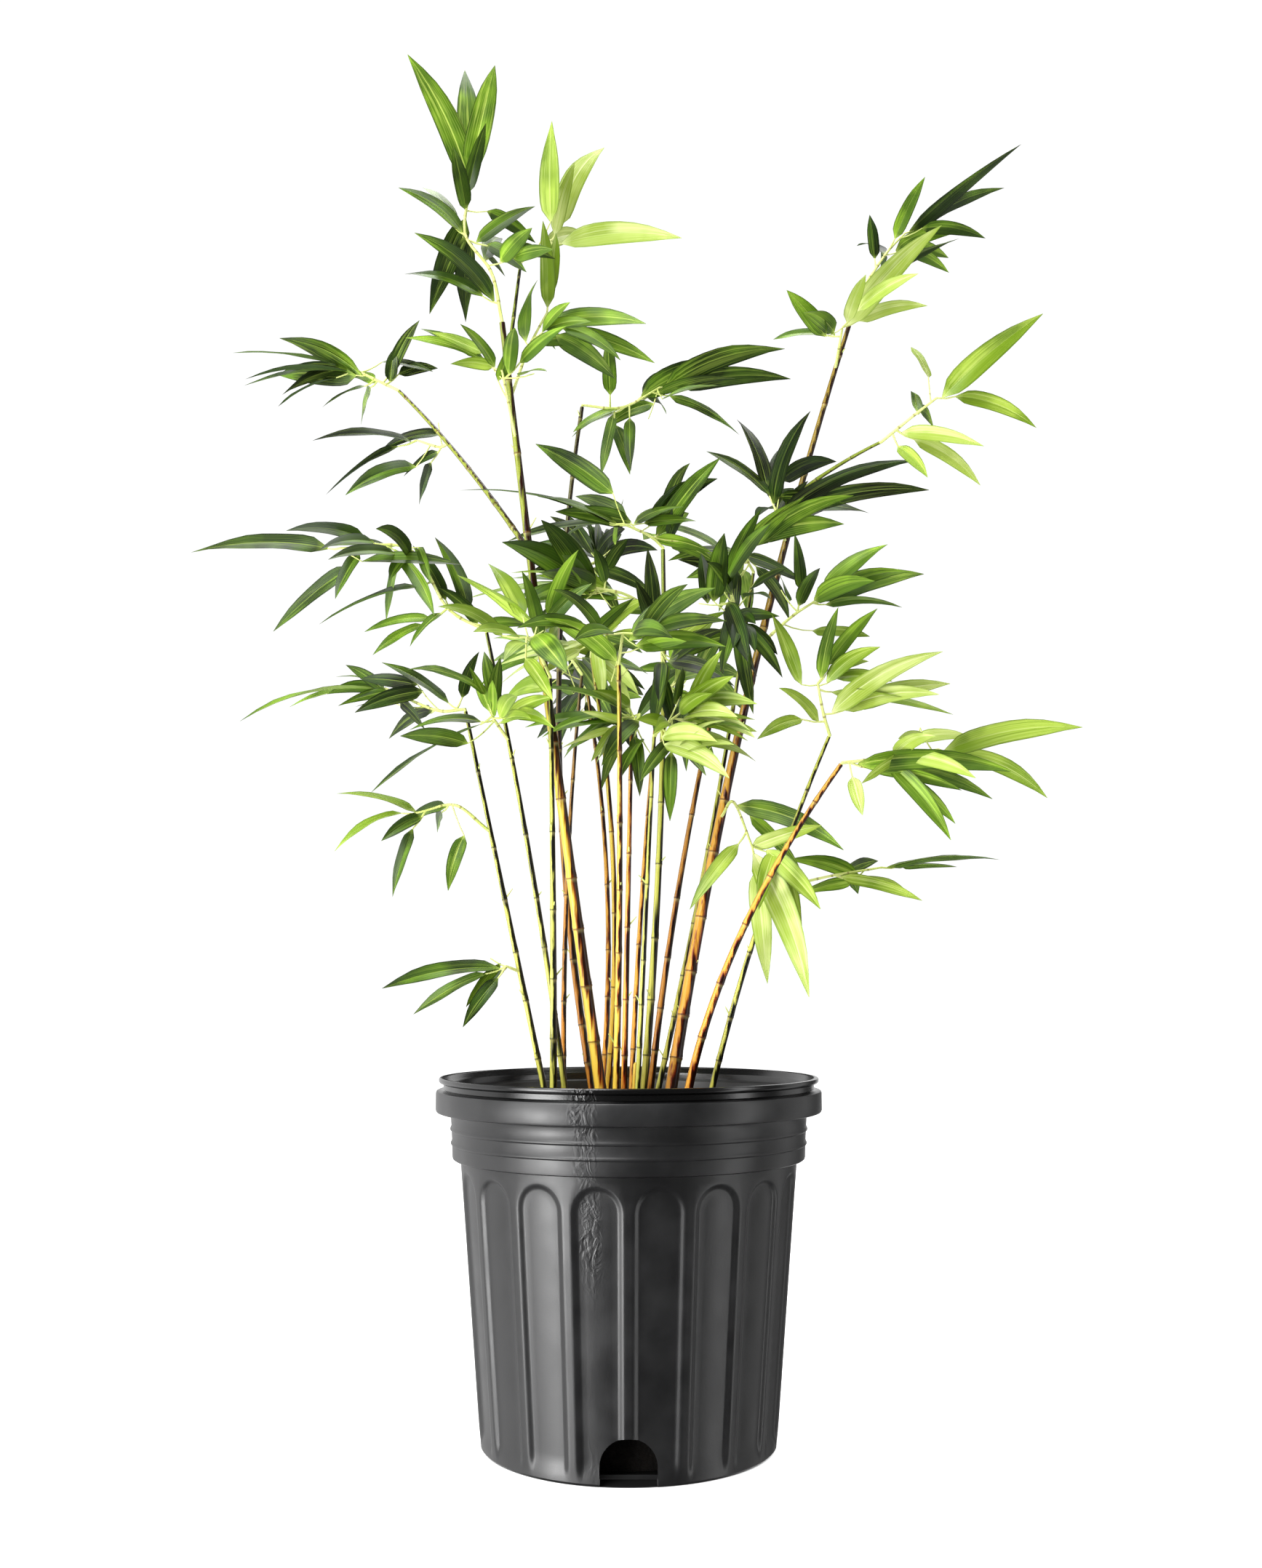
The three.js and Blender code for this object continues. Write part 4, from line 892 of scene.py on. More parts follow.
def growPlant():
    limbs = {}
    for name, cane in canes.items():
        pointAt = caneCurve(cane)
        limbs[name] = dict(pointAt=pointAt, axis=pointAt(0) - upward * seatGap, **cane)
    for name, bough in boughs.items():
        pointAt, axis = boughCurve(bough, limbs)
        limbs[name] = dict(pointAt=pointAt, axis=axis, **bough)
    room = Room()
    owners = {name: i for i, name in enumerate([*limbs, *masses])}
    for name, limb in limbs.items():
        length = np.linalg.norm(limb["pointAt"](0) - limb["pointAt"](1))
        room.add(*beadsOf(limb["pointAt"], lambda s: mix(*limb["thick"], s), length), owners[name])
    stems = {}
    for name, plan in masses.items():
        bends = [np.array(point, float) for point in plan["path"]]
        seat, axis = seatOn(limbs[plan["on"]], plan.get("at"), bends[0], rule["stemRadius"])
        pointAt = curveThrough([seat, *bends])
        length = np.linalg.norm(seat - bends[-1]) * rule["stemSlack"]
        room.add(*beadsOf(pointAt, lambda s: rule["stemRadius"], length), owners[name])
        stems[name] = dict(pointAt=pointAt, axis=axis)
    sprays = []
    for index, (name, plan) in enumerate(masses.items()):
        draw = drawsFrom(rule["seed"] + rule["massSeedStep"] * index)
        for fan in plan["fans"]:
            spray = growFan(fan, stems[name]["pointAt"], draw, room, owners[name])
            if spray:
                sprays.append(dict(mass=name, **spray))
    first = sum(len(s["leaves"]) for s in sprays)
    for index, (name, plan) in enumerate(masses.items()):
        draw = drawsFrom(finer["seed"] + finer["seedStep"] * index)
        low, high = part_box(name)
        low = np.array(low) / mm - finer["boxSlack"]
        high = np.array(high) / mm + finer["boxSlack"]
        grown = 0
        for attempt in range(plan["fine"] * finer["tries"]):
            if grown < plan["fine"]:
                spray = growFiner(stems[name]["pointAt"], draw, room, owners[name], low, high)
                if spray:
                    sprays.append(dict(mass=name, **spray))
                    grown += 1
    print("leaves of the first order", first, "and in all", sum(len(s["leaves"]) for s in sprays))
    return limbs, stems, sprays


# Canes, boughs and twigs: rails with their joints swollen, swept by one tree

# "near" holds, round a joint, the distance from it with the shares of swelling and of ridge
jointing = dict(
    seed=771, steps=60, spacing=[34, 58], firstJoint=14, firstStray=0.6, topFree=8, closeBelow=200,
    footShare=0.75, higherShare=0.4, swell=0.13, ridge=0.1, plain=9, farthest=20, none=99,
    roundTip=[(0.6, 0.8), (1, 0.4)],
    near=[(-5, 0, 0), (-2, 0.02, 0), (-0.9, 0.35, 0), (-0.35, 1, 0), (0.35, 1, 0), (0.8, 0.3, 0.4),
          (1.8, 0.1, 1), (3.2, 0, 0.7), (6, 0, 0.1)],
)


def railOf(pointAt, thick, draw, spacing, axis=None, isRound=True):
    # points along a limb: place, radius, distance in mm to the nearest joint, and above it or below
    shares = [i / jointing["steps"] for i in range(jointing["steps"] + 1)]
    samples = np.array([pointAt(share) for share in shares])
    runs = np.concatenate([[0], np.cumsum(np.linalg.norm(np.diff(samples, axis=0), axis=1))])
    length = runs[-1]
    joints = []
    here = jointing["firstJoint"] * (jointing["firstStray"] + draw())
    while here < length - jointing["topFree"]:
        joints.append(here)
        high = min(here / jointing["closeBelow"], 1)
        here += mix(*spacing, draw()) * (jointing["footShare"] + jointing["higherShare"] * high)
    stops = {0.0: (0, 0)}
    for joint in joints:
        for away, swell, ridge in jointing["near"]:
            if 0 < joint + away < length:
                stops[joint + away] = (swell, ridge)
    marks = sorted(stops)
    for low, high in zip(marks, marks[1:] + [length]):
        parts = int((high - low) // jointing["plain"]) + 1
        for k in range(1, parts):
            stops.setdefault(low + k * (high - low) / parts, (0, 0))
    stops[length] = (0, 0)
    points = []
    for stop, (swell, ridge) in sorted(stops.items()):
        share = float(np.interp(stop, runs, shares))
        radius = mix(*thick, share) * (1 + swell * jointing["swell"] + ridge * jointing["ridge"])
        away = min((stop - joint for joint in joints), key=abs, default=jointing["none"])
        points.append((pointAt(share), radius, min(abs(away), jointing["farthest"]), 1 if away >= 0 else -1))
    if axis is not None:
        points.insert(0, (axis, *points[0][1:]))
    if isRound:
        along = directionAt(pointAt, 1)
        place, radius, *rest = points[-1]
        for out, wide in jointing["roundTip"]:
            points.append((place + along * radius * out, radius * wide, *rest))
    return points, [pointAt(float(np.interp(joint, runs, shares))) for joint in joints]


def railMesh(name, rails):
    edges = []
    for rail in rails:
        first = edges[-1][1] + 1 if edges else 0
        edges += [(i, i + 1) for i in range(first, first + len(rail) - 1)]
    places, radii, away, above = zip(*[point for rail in rails for point in rail])
    mesh = meshFrom(name, [place * mm for place in places], edges, [])
    keep(mesh, "thick", [radius * mm for radius in radii])
    keep(mesh, "joint", away)
    keep(mesh, "above", above)
    return mesh


def sweepTree():
    tree, given = newTree("sweepAlong", Sides="Int", Finish="Material")
    ring = put(tree, "GeometryNodeCurvePrimitiveCircle", {"Resolution": given["Sides"], "Radius": 1.0})
    tube = put(tree, "GeometryNodeCurveToMesh", {
        "Curve": put(tree, "GeometryNodeMeshToCurve", {"Mesh": given["Geometry"]}), "Profile Curve": ring,
        "Scale": attribute(tree, "thick"), "Fill Caps": True})
    return closeTree(tube, given["Finish"])


# low and high are the colours at the foot and at the top; flush on the right is partly the cane's own sun
# flush, partly painted shade, darker higher up; shade is painted shade
caneTones = {
    "green": dict(low="d4d060", high="7c8a2e", flushAndShade="3c3e0d", shade="0a0a03", dark="2b2a10"),
    "yellow": dict(low="fcd250", high="868f32", flushAndShade="963e08", shade="240a02", dark="5a3512"),
    "orange": dict(low="f4b042", high="8c7428", flushAndShade="8a2806", shade="220702", dark="4c220e"),
    "brown": dict(low="c8842e", high="565426", flushAndShade="541a06", shade="120502", dark="2a1409"),
}
caneLook = dict(
    sides=14, creaseAngle=60, flushAndShadeHigh="30240c", wax="d8cc84", height=[0, 1, 0.28, 0.62],
    heightStray=0.3, streaks=[0, 1, 0.38, 0.62], streakStray=0.9, patchStray=1.4, flushAndShade=[0, 1, -0.4, 0.2],
    flushAndShadeRound=[1, 0.4, -0.2, 0.5], shade=[0, 1, 0.05, 0.4], shadeRound=[1, 0, -0.3, 0.05],
    flankFront=[0, 0.75, 0.1, 0.3], flankBack=[1, 0, 0.4, 0.75], flankStray=0.2,
    waxBand=[0.22, 0, 0.6, 4.0], scar=[0.85, 0, 0.2, 0.9], dullness=[0.3, 0.55], relief=0.12,
)


def caneFinish(name, tones):
    look = caneLook
    material, tree, shader = newFinish(name, 0.38, 0.32)
    place = placeIn(tree)
    streak = ramp(cloud(place, 300, 4, (1, 1, 0.04)), *look["streaks"])
    patch = cloud(place, 16, 3, (1, 1, 0.6)) - 0.5
    aloft = ramp(split(place)[2] + patch * look["heightStray"], *look["height"])
    colour = blend(aloft, tones["low"], tones["high"])
    # the right side is painted darker in streaks, partly the cane's own flush and partly painted shade, and
    # near-black painted shade on its front half
    side, back, up = split(placeIn(tree, "Normal"))
    flushAndShadeSide = side + (streak - 0.5) * look["streakStray"] + patch * look["patchStray"]
    flushAndShade = blend(aloft, tones["flushAndShade"], look["flushAndShadeHigh"])
    cover = softRamp(flushAndShadeSide, *look["flushAndShade"]) * softRamp(back, *look["flushAndShadeRound"])
    colour = blend(cover, colour, flushAndShade)
    cover = softRamp(flushAndShadeSide, *look["shade"]) * softRamp(back, *look["shadeRound"])
    colour = blend(cover, colour, tones["shade"])
    # and a stripe of painted shade runs down each flank, where the cane's edges look dark from the front
    flank = abs(back) + streak * look["flankStray"]
    cover = softRamp(flank, *look["flankFront"]) * softRamp(flank, *look["flankBack"])
    colour = blend(cover, colour, tones["shade"])
    # a dark scar at each joint, with a pale waxy band under it
    joint = stored(tree, "joint")
    band = softRamp(joint, *look["waxBand"]) * (stored(tree, "above") < 0.0)
    colour = blend(band, colour, look["wax"])
    colour = blend(softRamp(joint, *look["scar"]), colour, tones["dark"])
    feed(shader.inputs["Base Color"], colour)
    feed(shader.inputs["Roughness"], ramp(band, *look["dullness"]))
    shader.inputs["Coat Weight"].default_value = 0.08
    shader.inputs["Coat Roughness"].default_value = 0.25
    raised(shader, streak, look["relief"], 0.7)
    return material


def makeCanes(tree, limbs):
    draw = drawsFrom(jointing["seed"])
    groups = {tone: {} for tone in caneTones}
    seats = []
    for name, limb in limbs.items():
        rail, joints = railOf(limb["pointAt"], limb["thick"], draw, jointing["spacing"], limb["axis"],
                              name == "cane_stub")
        groups[limb["tone"]][name] = rail
        if name in canes:
            seats.append((limb, joints))
    for tone, rails in groups.items():
        piece = grownBy(tree, "canes_" + tone, railMesh("canes_" + tone, rails.values()), {
            "Sides": caneLook["sides"], "Finish": caneFinish("cane" + tone.capitalize(), caneTones[tone])})
        settle(piece, list(rails), caneLook["creaseAngle"])
    return seats


twigSizes = dict(
    seed=3301, sides=6, creaseAngle=60, stem=[1.25, 0.85], twig=[0.85, 0.55], fineTwig=[0.6, 0.42],
    spacing=[12, 22], sag=-0.06, stubShare=0.55, stubRise=0.9, stubLong=[3, 9], stubThick=[0.8, 0.35],
    stubSpacing=[40, 50],
    low="b9c765", high="dbe08f", patches=[0, 1, 0.35, 0.65], scarred="7a6a2e", scar=[0.7, 0, 0.3, 1.2],
    relief=0.06,
)


def twigFinish():
    material, tree, shader = newFinish("paleTwig", 0.45, 0.4)
    place = placeIn(tree)
    colour = blend(ramp(cloud(place, 45), *twigSizes["patches"]), twigSizes["low"], twigSizes["high"])
    scar = softRamp(stored(tree, "joint"), *twigSizes["scar"])
    feed(shader.inputs["Base Color"], blend(scar, colour, twigSizes["scarred"]))
    raised(shader, cloud(place, 500, 2, (1, 1, 0.3)), twigSizes["relief"], 0.6)
    return material


def makeTwigs(tree, stems, sprays, seats):
    draw = drawsFrom(twigSizes["seed"])
    spacing = twigSizes["spacing"]
    rails = []
    for stem in stems.values():
        rails.append(railOf(stem["pointAt"], twigSizes["stem"], draw, spacing, stem["axis"])[0])
    for spray in sprays:
        foot, tip = spray["foot"], spray["tip"]
        sag = upward * twigSizes["sag"] * np.linalg.norm(tip - foot)
        thick = twigSizes["fineTwig" if spray["fine"] else "twig"]
        rails.append(railOf(lambda s: mix(foot, tip, s) + sag * 4 * s * (1 - s), thick, draw, spacing)[0])
    for limb, joints in seats:
        for place in joints[1:]:
            if draw() < twigSizes["stubShare"]:
                # a bud or the stub of a dropped twig stands at the joint
                turn = draw() * math.tau
                rise = twigSizes["stubRise"] + draw()
                heading = unit(np.array([math.cos(turn), math.sin(turn), rise]))
                long = mix(*twigSizes["stubLong"], draw() ** 2) + limb["thick"][0]
                end = place + heading * long
                rails.append(railOf(lambda s: mix(place, end, s), twigSizes["stubThick"], draw,
                                    twigSizes["stubSpacing"])[0])
    piece = grownBy(tree, "twigs", railMesh("twigs", rails), {
        "Sides": twigSizes["sides"], "Finish": twigFinish()})
    settle(piece, [], twigSizes["creaseAngle"])


# Leaves: one narrow closed blade, bent and folded for each leaf by its own numbers

# the first are the inputs of the blade's tree, by name
blade = dict(Across=5, Along=11, Spread=1.35, Thick=0.5 * mm, Fold=0.34, Curl=-0.12)
bladeBends = dict(endRow=0.499, weld=0.001, turnFrom=0.25, skew=1.4, waveHigh=0.09)
bladeOutline = [(0, 0.08), (0.025, 0.12), (0.05, 0.46), (0.1, 0.76), (0.18, 0.94), (0.28, 1), (0.42, 0.98),
                (0.56, 0.9), (0.7, 0.73), (0.83, 0.47), (0.93, 0.19), (1, 0.02)]


def bladeTree():
    tree, given = newTree("bladeFromPoint", Across="Int", Along="Int", Spread="Float", Thick="Float",
                          Fold="Float", Curl="Float", Finish="Material")

    def position():
        return put(tree, "GeometryNodeInputPosition")

    # a flat box, pinched shut along its edges, that keeps its corners' places as "blade"
    grid = put(tree, "GeometryNodeMeshCube", {
        "Size": (2, 1, 2), "Vertices X": given["Across"], "Vertices Y": given["Along"], "Vertices Z": 2})
    x, y, z = split(position())
    height = z * (1.0 - abs(x)) * (abs(y) < bladeBends["endRow"])
    lens = put(tree, "ShaderNodeCombineXYZ", {0: x, 1: y + 0.5, 2: height})
    shaped = put(tree, "GeometryNodeSetPosition", {"Geometry": grid, "Position": lens})
    closed = put(tree, "GeometryNodeMergeByDistance", {
        "Geometry": shaped, "Distance": bladeBends["weld"]})
    kept = put(tree, "GeometryNodeStoreNamedAttribute", {
        "Geometry": closed, "Name": "blade", "Value": position()}, data_type="FLOAT_VECTOR")
    copies = put(tree, "GeometryNodeInstanceOnPoints", {"Points": given["Geometry"], "Instance": kept})
    real = put(tree, "GeometryNodeRealizeInstances", {"Geometry": copies})

    own, heading, face, lift = [
        attribute(tree, label, "FLOAT_VECTOR") for label in ("blade", "heading", "face", "lift")]
    long, half, arch, twist, sag, foldShare, wave = [attribute(tree, label) for label in leafNumbers]
    across, along, over = split(own)
    s = reckon("POWER", along, given["Spread"])
    outline = newNode(tree, "ShaderNodeFloatCurve", {"Value": s})
    curve = outline.mapping.curves[0]
    curve.points[0].location = bladeOutline[0]
    curve.points[1].location = bladeOutline[-1]
    for spot in bladeOutline[1:-1]:
        curve.points.new(*spot)
    outline.mapping.update()
    wide = Flow(outline.outputs[0]) * half

    # the blade turns about its heading, then it arches, folds at the rib, waves at the edges and droops
    flat = reckon("CROSS_PRODUCT", heading, face)
    turn = twist * (s - bladeBends["turnFrom"])
    cosine, sine = reckon("COSINE", turn), reckon("SINE", turn)
    away = abs(across)
    ripple = reckon("SINE", s * wave + across * bladeBends["skew"])
    dish = given["Fold"] * foldShare * away + away * away * given["Curl"]
    dish = dish + ripple * away * bladeBends["waveHigh"]
    spot = position() - own + heading * (long * s) + lift * (arch * (s * (1.0 - s) * 4.0) * long)
    spot = spot + (flat * cosine + face * sine) * (across * wide)
    spot = spot + (face * cosine - flat * sine) * (dish * wide + over * (given["Thick"] * 0.5))
    spot = spot - put(tree, "ShaderNodeCombineXYZ", {"Z": sag * long * (s * s)})
    bent = put(tree, "GeometryNodeSetPosition", {"Geometry": real, "Position": spot})
    return closeTree(bent, given["Finish"])


# the darkest tones are partly painted shade, for leaves deep in the crown, and partly the leaves' own range
# of colour
leafTones = {
    "dark": dict(deep="061002", light="24420a", under="38521e", rib="98b04a", edge="081003"),
    "deep": dict(deep="182c05", light="4c6e12", under="607c38", rib="b0ca54", edge="0f1c04"),
    "mid": dict(deep="38580a", light="7aa024", under="829a48", rib="d0e26e", edge="1e3406"),
    "fresh": dict(deep="668414", light="9eb840", under="9aaa5c", rib="dae690", edge="465e0e"),
    "bright": dict(deep="90a838", light="c4d27c", under="c6d092", rib="f0f2c0", edge="6c8a20"),
}
# the tones that a mass deals out to its sprays, counted in the order above
massTones = {"dark": [0, 0, 1, 0, 2, 1], "mid": [1, 2, 2, 1, 3, 2], "bright": [3, 4, 2, 4, 3, 2]}
leafSizes = dict(seed=8111, twist=math.radians(44), sag=[0.0, 0.09], foldShare=[0.5, 1.3], wave=[4, 11],
                 widen=1.03, hanging=-0.5, creaseAngle=17)
# what each leaf's point carries into the blade's tree
leafNumbers = ["long", "half", "arch", "twist", "sag", "foldShare", "wave"]
leafLook = dict(
    patches=[0, 1, 0.4, 0.6], veins=34.0, vein=[0, 0.14, 0.2, 1.0], drift=(4.5, 0.9, 0.0), apart=22.0,
    pale=[0, 0.28, 0.54, 0.7], dark=[0.8, 0, 0.3, 0.47], shadedHalf=[0, 1, -0.06, 0.06],
    shadedHalfOften=[0, 0.75, 0.42, 0.6], root=[0.55, 0, 0.0, 0.16], rib=[1, 0, 0.02, 0.08],
    ribOften=[0.5, 0.1, 0.4, 0.6], below=0.8, edge=[0, 0.8, 0.8, 1.0], dullness=[0.4, 0.6], relief=0.02,
)


def leafFinish(name, tones):
    look = leafLook
    material, tree, shader = newFinish(name, 0.4, 0.25)
    across, along, over = split(stored(tree, "blade", "Vector"))
    away = abs(across)
    place = placeIn(tree)
    vein = reckon("SINE", across * look["veins"])
    # long soft streaks run between the veins, different on each leaf
    drift = put(tree, "ShaderNodeCombineXYZ", {0: across, 1: along}) * look["drift"]
    streak = cloud(drift + place * look["apart"], 1.0, 2)
    # one half is often painted darker, as shade from the fold at the rib, and the rib shows more on some
    # leaves than on others
    varied = cloud(place, 9, 1)
    half = ramp(across, *look["shadedHalf"]) * ramp(varied, *look["shadedHalfOften"])
    rib = ramp(away, *look["rib"]) * ramp(varied, *look["ribOften"])
    below = over < 0.0
    colour = blend(ramp(cloud(place, 26, 2), *look["patches"]), tones["deep"], tones["light"])
    for cover, tone in (
            (ramp(vein, *look["vein"]), "rib"), (ramp(streak, *look["pale"]), "rib"),
            (ramp(streak, *look["dark"]), "deep"), (half, "deep"), (ramp(along, *look["root"]), "rib"),
            (rib, "rib"), (below * look["below"], "under"), (ramp(away, *look["edge"]), "edge")):
        colour = blend(cover, colour, tones[tone])
    feed(shader.inputs["Base Color"], colour)
    feed(shader.inputs["Roughness"], ramp(below, *look["dullness"]))
    raised(shader, vein, look["relief"], 0.2)
    return material


def makeLeaves(sprays):
    draw = drawsFrom(leafSizes["seed"])
    groups = {tone: [] for tone in leafTones}
    for spray in sprays:
        plan = masses[spray["mass"]]
        choices = plan.get("shades", massTones[plan["tone"]])
        tone = list(leafTones)[choices[int(draw() * len(choices))]]
        for leaf in spray["leaves"]:
            leaf["half"] *= leafSizes["widen"]
            leaf["twist"] = leafSizes["twist"] * (draw() * 2 - 1)
            leaf["sag"] = mix(*leafSizes["sag"], draw()) * (leaf["heading"][2] >= leafSizes["hanging"])
            leaf["foldShare"] = mix(*leafSizes["foldShare"], draw())
            leaf["wave"] = mix(*leafSizes["wave"], draw())
            groups[tone].append(leaf)
    tree = bladeTree()
    for tone, leaves in groups.items():
        mesh = meshFrom("leaves_" + tone, [leaf["root"] * mm for leaf in leaves], [], [])
        for label in ("heading", "face", "lift"):
            keep(mesh, label, [float(c) for leaf in leaves for c in leaf[label]], "FLOAT_VECTOR")
        for label in leafNumbers:
            unitSize = mm if label in ("long", "half") else 1
            keep(mesh, label, [leaf[label] * unitSize for leaf in leaves])
        finish = leafFinish("leaf" + tone.capitalize(), leafTones[tone])
        piece = grownBy(tree, "leaves_" + tone, mesh, {**blade, "Finish": finish})
        nodes = sorted(name for name, plan in masses.items() if plan["tone"] == tone)
        settle(piece, nodes, leafSizes["creaseAngle"])
        print("leaves", tone, len(leaves), "faces", len(piece.data.polygons))


# Potting mix: a bumpy top inside the pot, with bark chips strewn over it

# "sunk" is how far its edge lies under the top; the other collar sizes follow the pot's inside, and the
# colour for the bottom is painted shade
soil = dict(
    ringRadius=80, ringTop=34, ringStep=4, clear=0.3, collarOut=0.4, collarUp=3, bandLow=232.5, bandUp=1.4,
    around=72, rings=14, sunk=0.6, bump=2.2, bumpScale=0.035 * 2.4, creaseAngle=40,
    low="17100a", high="3a2a1c", patches=[0, 1, 0.35, 0.7], shadeBelow="050403", shadeBelowHeight=[0.9, 0, 0.06, 0.2],
    relief=1.2,
)
# Seed, Least and Most are inputs of the chips' tree
chips = dict(
    Seed=17, Least=1.6 * mm, Most=5.2 * mm, count=620, least=(0.5, 0.25, 0.16), most=(1.0, 0.7, 0.36),
    lean=0.5, sizeSeed=5, turnSeed=9, flat=0.7, low="2a1c11", high="6b4a30", creaseAngle=20,
)


def soilFinish(name, low, high):
    material, tree, shader = newFinish(name, 0.85, 0.25)
    place = placeIn(tree)
    colour = blend(ramp(cloud(place, 140, 5), *soil["patches"]), low, high)
    # painted shade: nearly black towards the bottom, where the notches show the inside
    feed(shader.inputs["Base Color"], blend(ramp(split(place)[2], *soil["shadeBelowHeight"]), colour, soil["shadeBelow"]))
    raised(shader, cloud(place, 420, 5), soil["relief"])
    return material


def makeSoil():
    clear, around, low = pot["wall"] + soil["clear"], soil["around"], pot["collarLow"]
    collar = pot["collarFoot"] + soil["collarOut"] - clear
    flare = pot["collarTop"] - pot["collarFoot"] - soil["collarOut"]
    slope = flare / (soil["bandLow"] - low - soil["bandUp"])
    edge = collar + slope * (soilTop - low - soil["collarUp"])
    step = soil["ringTop"] + soil["ringStep"]
    base = pot["floor"] + soil["clear"]
    top = soilTop - soil["sunk"]
    rings = [((edge - soil["sunk"]) * (k + 1) / soil["rings"], top, True) for k in range(soil["rings"])]
    rings += [(radius, z, False) for radius, z in (
        (edge, soilTop - 1), (collar, low + soil["collarUp"]), (pot["bodyRadius"] - clear, low - 1),
        (bodyRadius(step) - clear, step), (soil["ringRadius"], soil["ringTop"]), (soil["ringRadius"], base))]
    corners = [(0, 0, (soilTop - 0.5) * mm)]
    for radius, z, isBumpy in rings:
        for i in range(around):
            x, y = radius * math.cos(math.tau * i / around), radius * math.sin(math.tau * i / around)
            up = soil["bump"] * noise.noise(Vector((x, y, 3)) * soil["bumpScale"]) if isBumpy else 0
            corners.append((x * mm, y * mm, (z + up) * mm))
    corners.append((0, 0, base * mm))
    faces = []
    for i in range(around):
        j = (i + 1) % around
        faces.append((0, 1 + i, 1 + j))
        for k in range(len(rings) - 1):
            inner, outer = 1 + k * around, 1 + (k + 1) * around
            faces.append((inner + i, outer + i, outer + j, inner + j))
        last = 1 + (len(rings) - 1) * around
        faces.append((last + i, len(corners) - 1, last + j))
    mesh = meshFrom("pottingMix", corners, [], faces)
    mesh.materials.append(soilFinish("pottingMixShadedBelow", soil["low"], soil["high"]))
    mesh.shade_smooth()
    settle(objectFrom("pottingMix", mesh), ["soil"], soil["creaseAngle"])
    strewChips(mesh.copy(), chips["count"] / (math.pi * (edge * mm) ** 2))


def strewChips(ground, density):
    tree, given = newTree("strewChips", Count="Float", Seed="Int", Least="Float", Most="Float",
                          Finish="Material")

    def randomly(low, high, seed, kind="FLOAT_VECTOR"):
        keys, out = ((0, 1), 0) if kind == "FLOAT_VECTOR" else ((2, 3), 1)
        inputs = {keys[0]: low, keys[1]: high, "Seed": seed}
        return put(tree, "FunctionNodeRandomValue", inputs, out, data_type=kind)

    onTop = split(put(tree, "GeometryNodeInputNormal"))[2] > chips["flat"]
    points = put(tree, "GeometryNodeDistributePointsOnFaces", {
        "Mesh": given["Geometry"], "Selection": onTop, "Density": given["Count"], "Seed": given["Seed"]})
    shape = randomly(chips["least"], chips["most"], given["Seed"])
    size = randomly(given["Least"], given["Most"], chips["sizeSeed"], "FLOAT")
    lean = chips["lean"]
    copies = put(tree, "GeometryNodeInstanceOnPoints", {
        "Points": points, "Scale": shape * size,
        "Instance": put(tree, "GeometryNodeMeshIcoSphere", {"Radius": 1.0, "Subdivisions": 1}),
        "Rotation": randomly((-lean, -lean, 0), (lean, lean, math.tau), chips["turnSeed"])})
    closeTree(copies, given["Finish"], False)
    finish = soilFinish("barkChip", chips["low"], chips["high"])
    settle(grownBy(tree, "barkChips", ground, {**chips, "Count": density, "Finish": finish}), [],
           chips["creaseAngle"])


# Stage, light and camera

# each light: its place, what it looks at, width, height and power
stageSizes = dict(
    floor=40, floorSeen=1.0, floorGlow=0.1, skySeen=1.05, skyGlow=0.22, skyGloss=0.35, darkEdge=3,
    floorPaintedShadow=(0.01, 0.01, 0.01, 1), floorPale=(0.85, 0.85, 0.85, 1),
    lights=dict(
        key=[(-1.1, -1.7, 2.0), (0, 0, 0.5), 1.2, 1.2, 58],
        leftBox=[(-1.64, -1.24, 0.1), (0, 0, 0.1), 1.1, 3.4, 54],
        leftGlow=[(-1.48, -1.24, -0.1), (0, 0, 0.1), 0.7, 0.7, 22],
        leftWall=[(-1.9, 0.55, 0.1), (0, 0, 0.1), 1.9, 3.4, 24],
        leftBehind=[(-0.95, 1.6, 0.1), (0, 0, 0.1), 1.3, 3.4, 14],
        rightBox=[(1.8, -0.7, 0.1), (0, 0, 0.1), 0.4, 3.0, 14],
        rightWall=[(1.9, 0.9, 0.1), (0, 0, 0.1), 1.0, 3.4, 7],
        rightBehind=[(0.6, 1.9, 0.1), (0, 0, 0.1), 0.7, 3.4, 8],
        top=[(0.15, 0.35, 2.1), (0, 0, 0.25), 1.8, 0.9, 30],
    ),
)


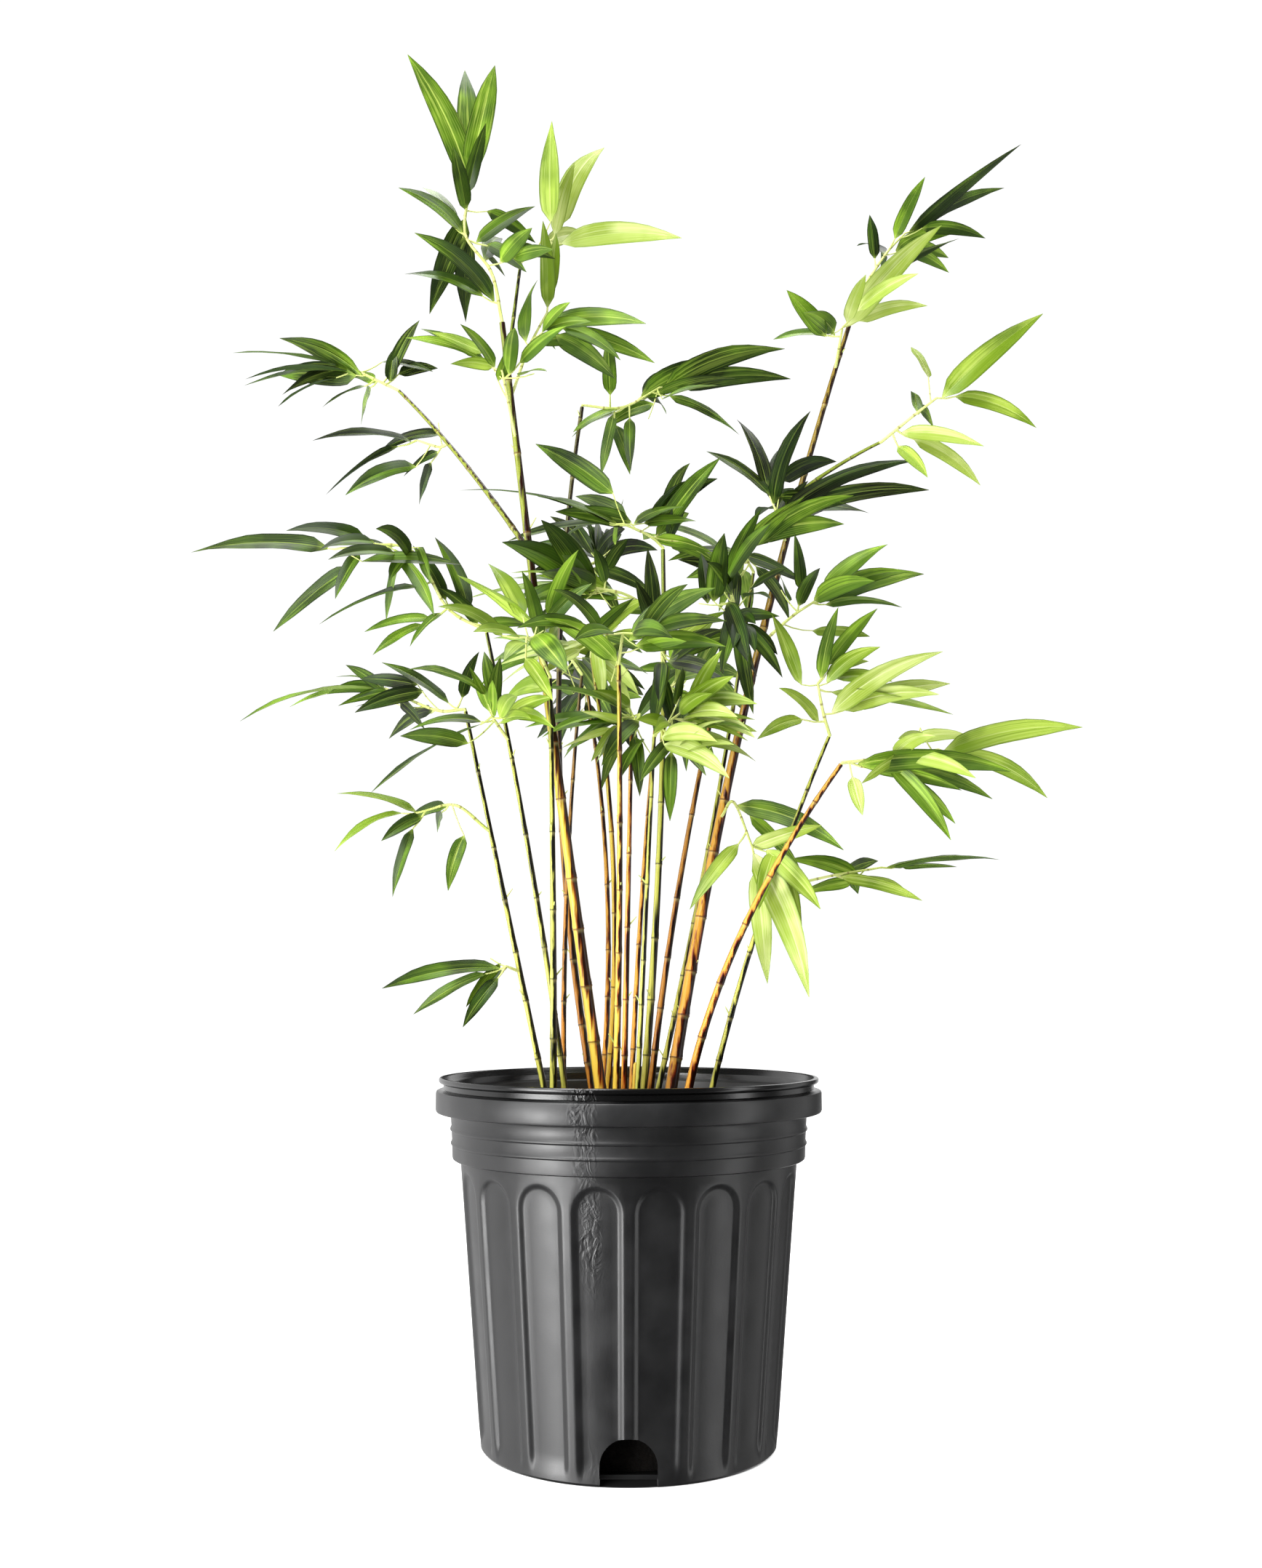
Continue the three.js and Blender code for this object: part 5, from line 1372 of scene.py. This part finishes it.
def makeFloor():
    half = stageSizes["floor"] / 2
    corners = [(-half, -half, 0), (half, -half, 0), (half, half, 0), (-half, half, 0)]
    floor = objectFrom("floor", meshFrom("floor", corners, [], [(0, 1, 2, 3)]))
    material, tree, shader = newFinish("paleFloor", 0.9, 0.1)
    shader.inputs["Emission Color"].default_value = (1, 1, 1, 1)
    seen = put(tree, "ShaderNodeLightPath", out="Is Camera Ray")
    # painted shadow: it stays dark inside the pot's foot, where the notches show it
    foot = pot["footRadius"] * mm
    outside = ramp(reckon("LENGTH", placeIn(tree)), 0, 1, foot - stageSizes["darkEdge"] * mm, foot)
    feed(shader.inputs["Emission Strength"],
         outside * ramp(seen, stageSizes["floorGlow"], stageSizes["floorSeen"]))
    feed(shader.inputs["Base Color"], blend(outside, stageSizes["floorPaintedShadow"], stageSizes["floorPale"]))
    floor.data.materials.append(material)
    # the light boxes reach below it, as they would beside a table
    floor.visible_glossy = False
    floor.visible_shadow = False


def makeLight():
    world = bpy.data.worlds.new("studio")
    bpy.context.scene.world = world
    world.use_nodes = True
    tree = world.node_tree
    back = tree.nodes["Background"]
    back.inputs["Color"].default_value = (1, 1, 1, 1)
    seen = put(tree, "ShaderNodeLightPath", out="Is Camera Ray")
    glossy = put(tree, "ShaderNodeLightPath", out="Is Glossy Ray")
    feed(back.inputs["Strength"], ramp(seen, stageSizes["skyGlow"], stageSizes["skySeen"])
         * ramp(glossy, 1, stageSizes["skyGloss"]))
    for name, (place, target, wide, tall, power) in stageSizes["lights"].items():
        light = bpy.data.lights.new(name, "AREA")
        light.shape = "RECTANGLE"
        light.size = wide
        light.size_y = tall
        light.energy = power
        lamp = objectFrom(name, light)
        lamp.location = place
        lamp.rotation_euler = (Vector(target) - Vector(place)).to_track_quat("-Z", "Y").to_euler()
        lamp.visible_camera = False


def makeCamera():
    camera = bpy.data.cameras.new("camera")
    camera.lens = 36.64
    camera.sensor_width = 36
    camera.clip_start = 0.05
    camera.clip_end = 100
    holder = objectFrom("camera", camera)
    holder.location = (0.0016, -1.18535, 0.3265)
    holder.rotation_euler = (math.radians(97.02), 0, 0)
    bpy.context.scene.camera = holder
    bpy.context.scene.view_settings.view_transform = "Standard"


makeCamera()
makeFloor()
makeLight()
print("stage set")
makePot(potFinish())
print("pot made")
makeSoil()
print("potting mix made")
limbs, stems, sprays = growPlant()
print("plant grown")
sweep = sweepTree()
seats = makeCanes(sweep, limbs)
print("canes made")
makeTwigs(sweep, stems, sprays, seats)
print("twigs made")
makeLeaves(sprays)
print("leaves made")
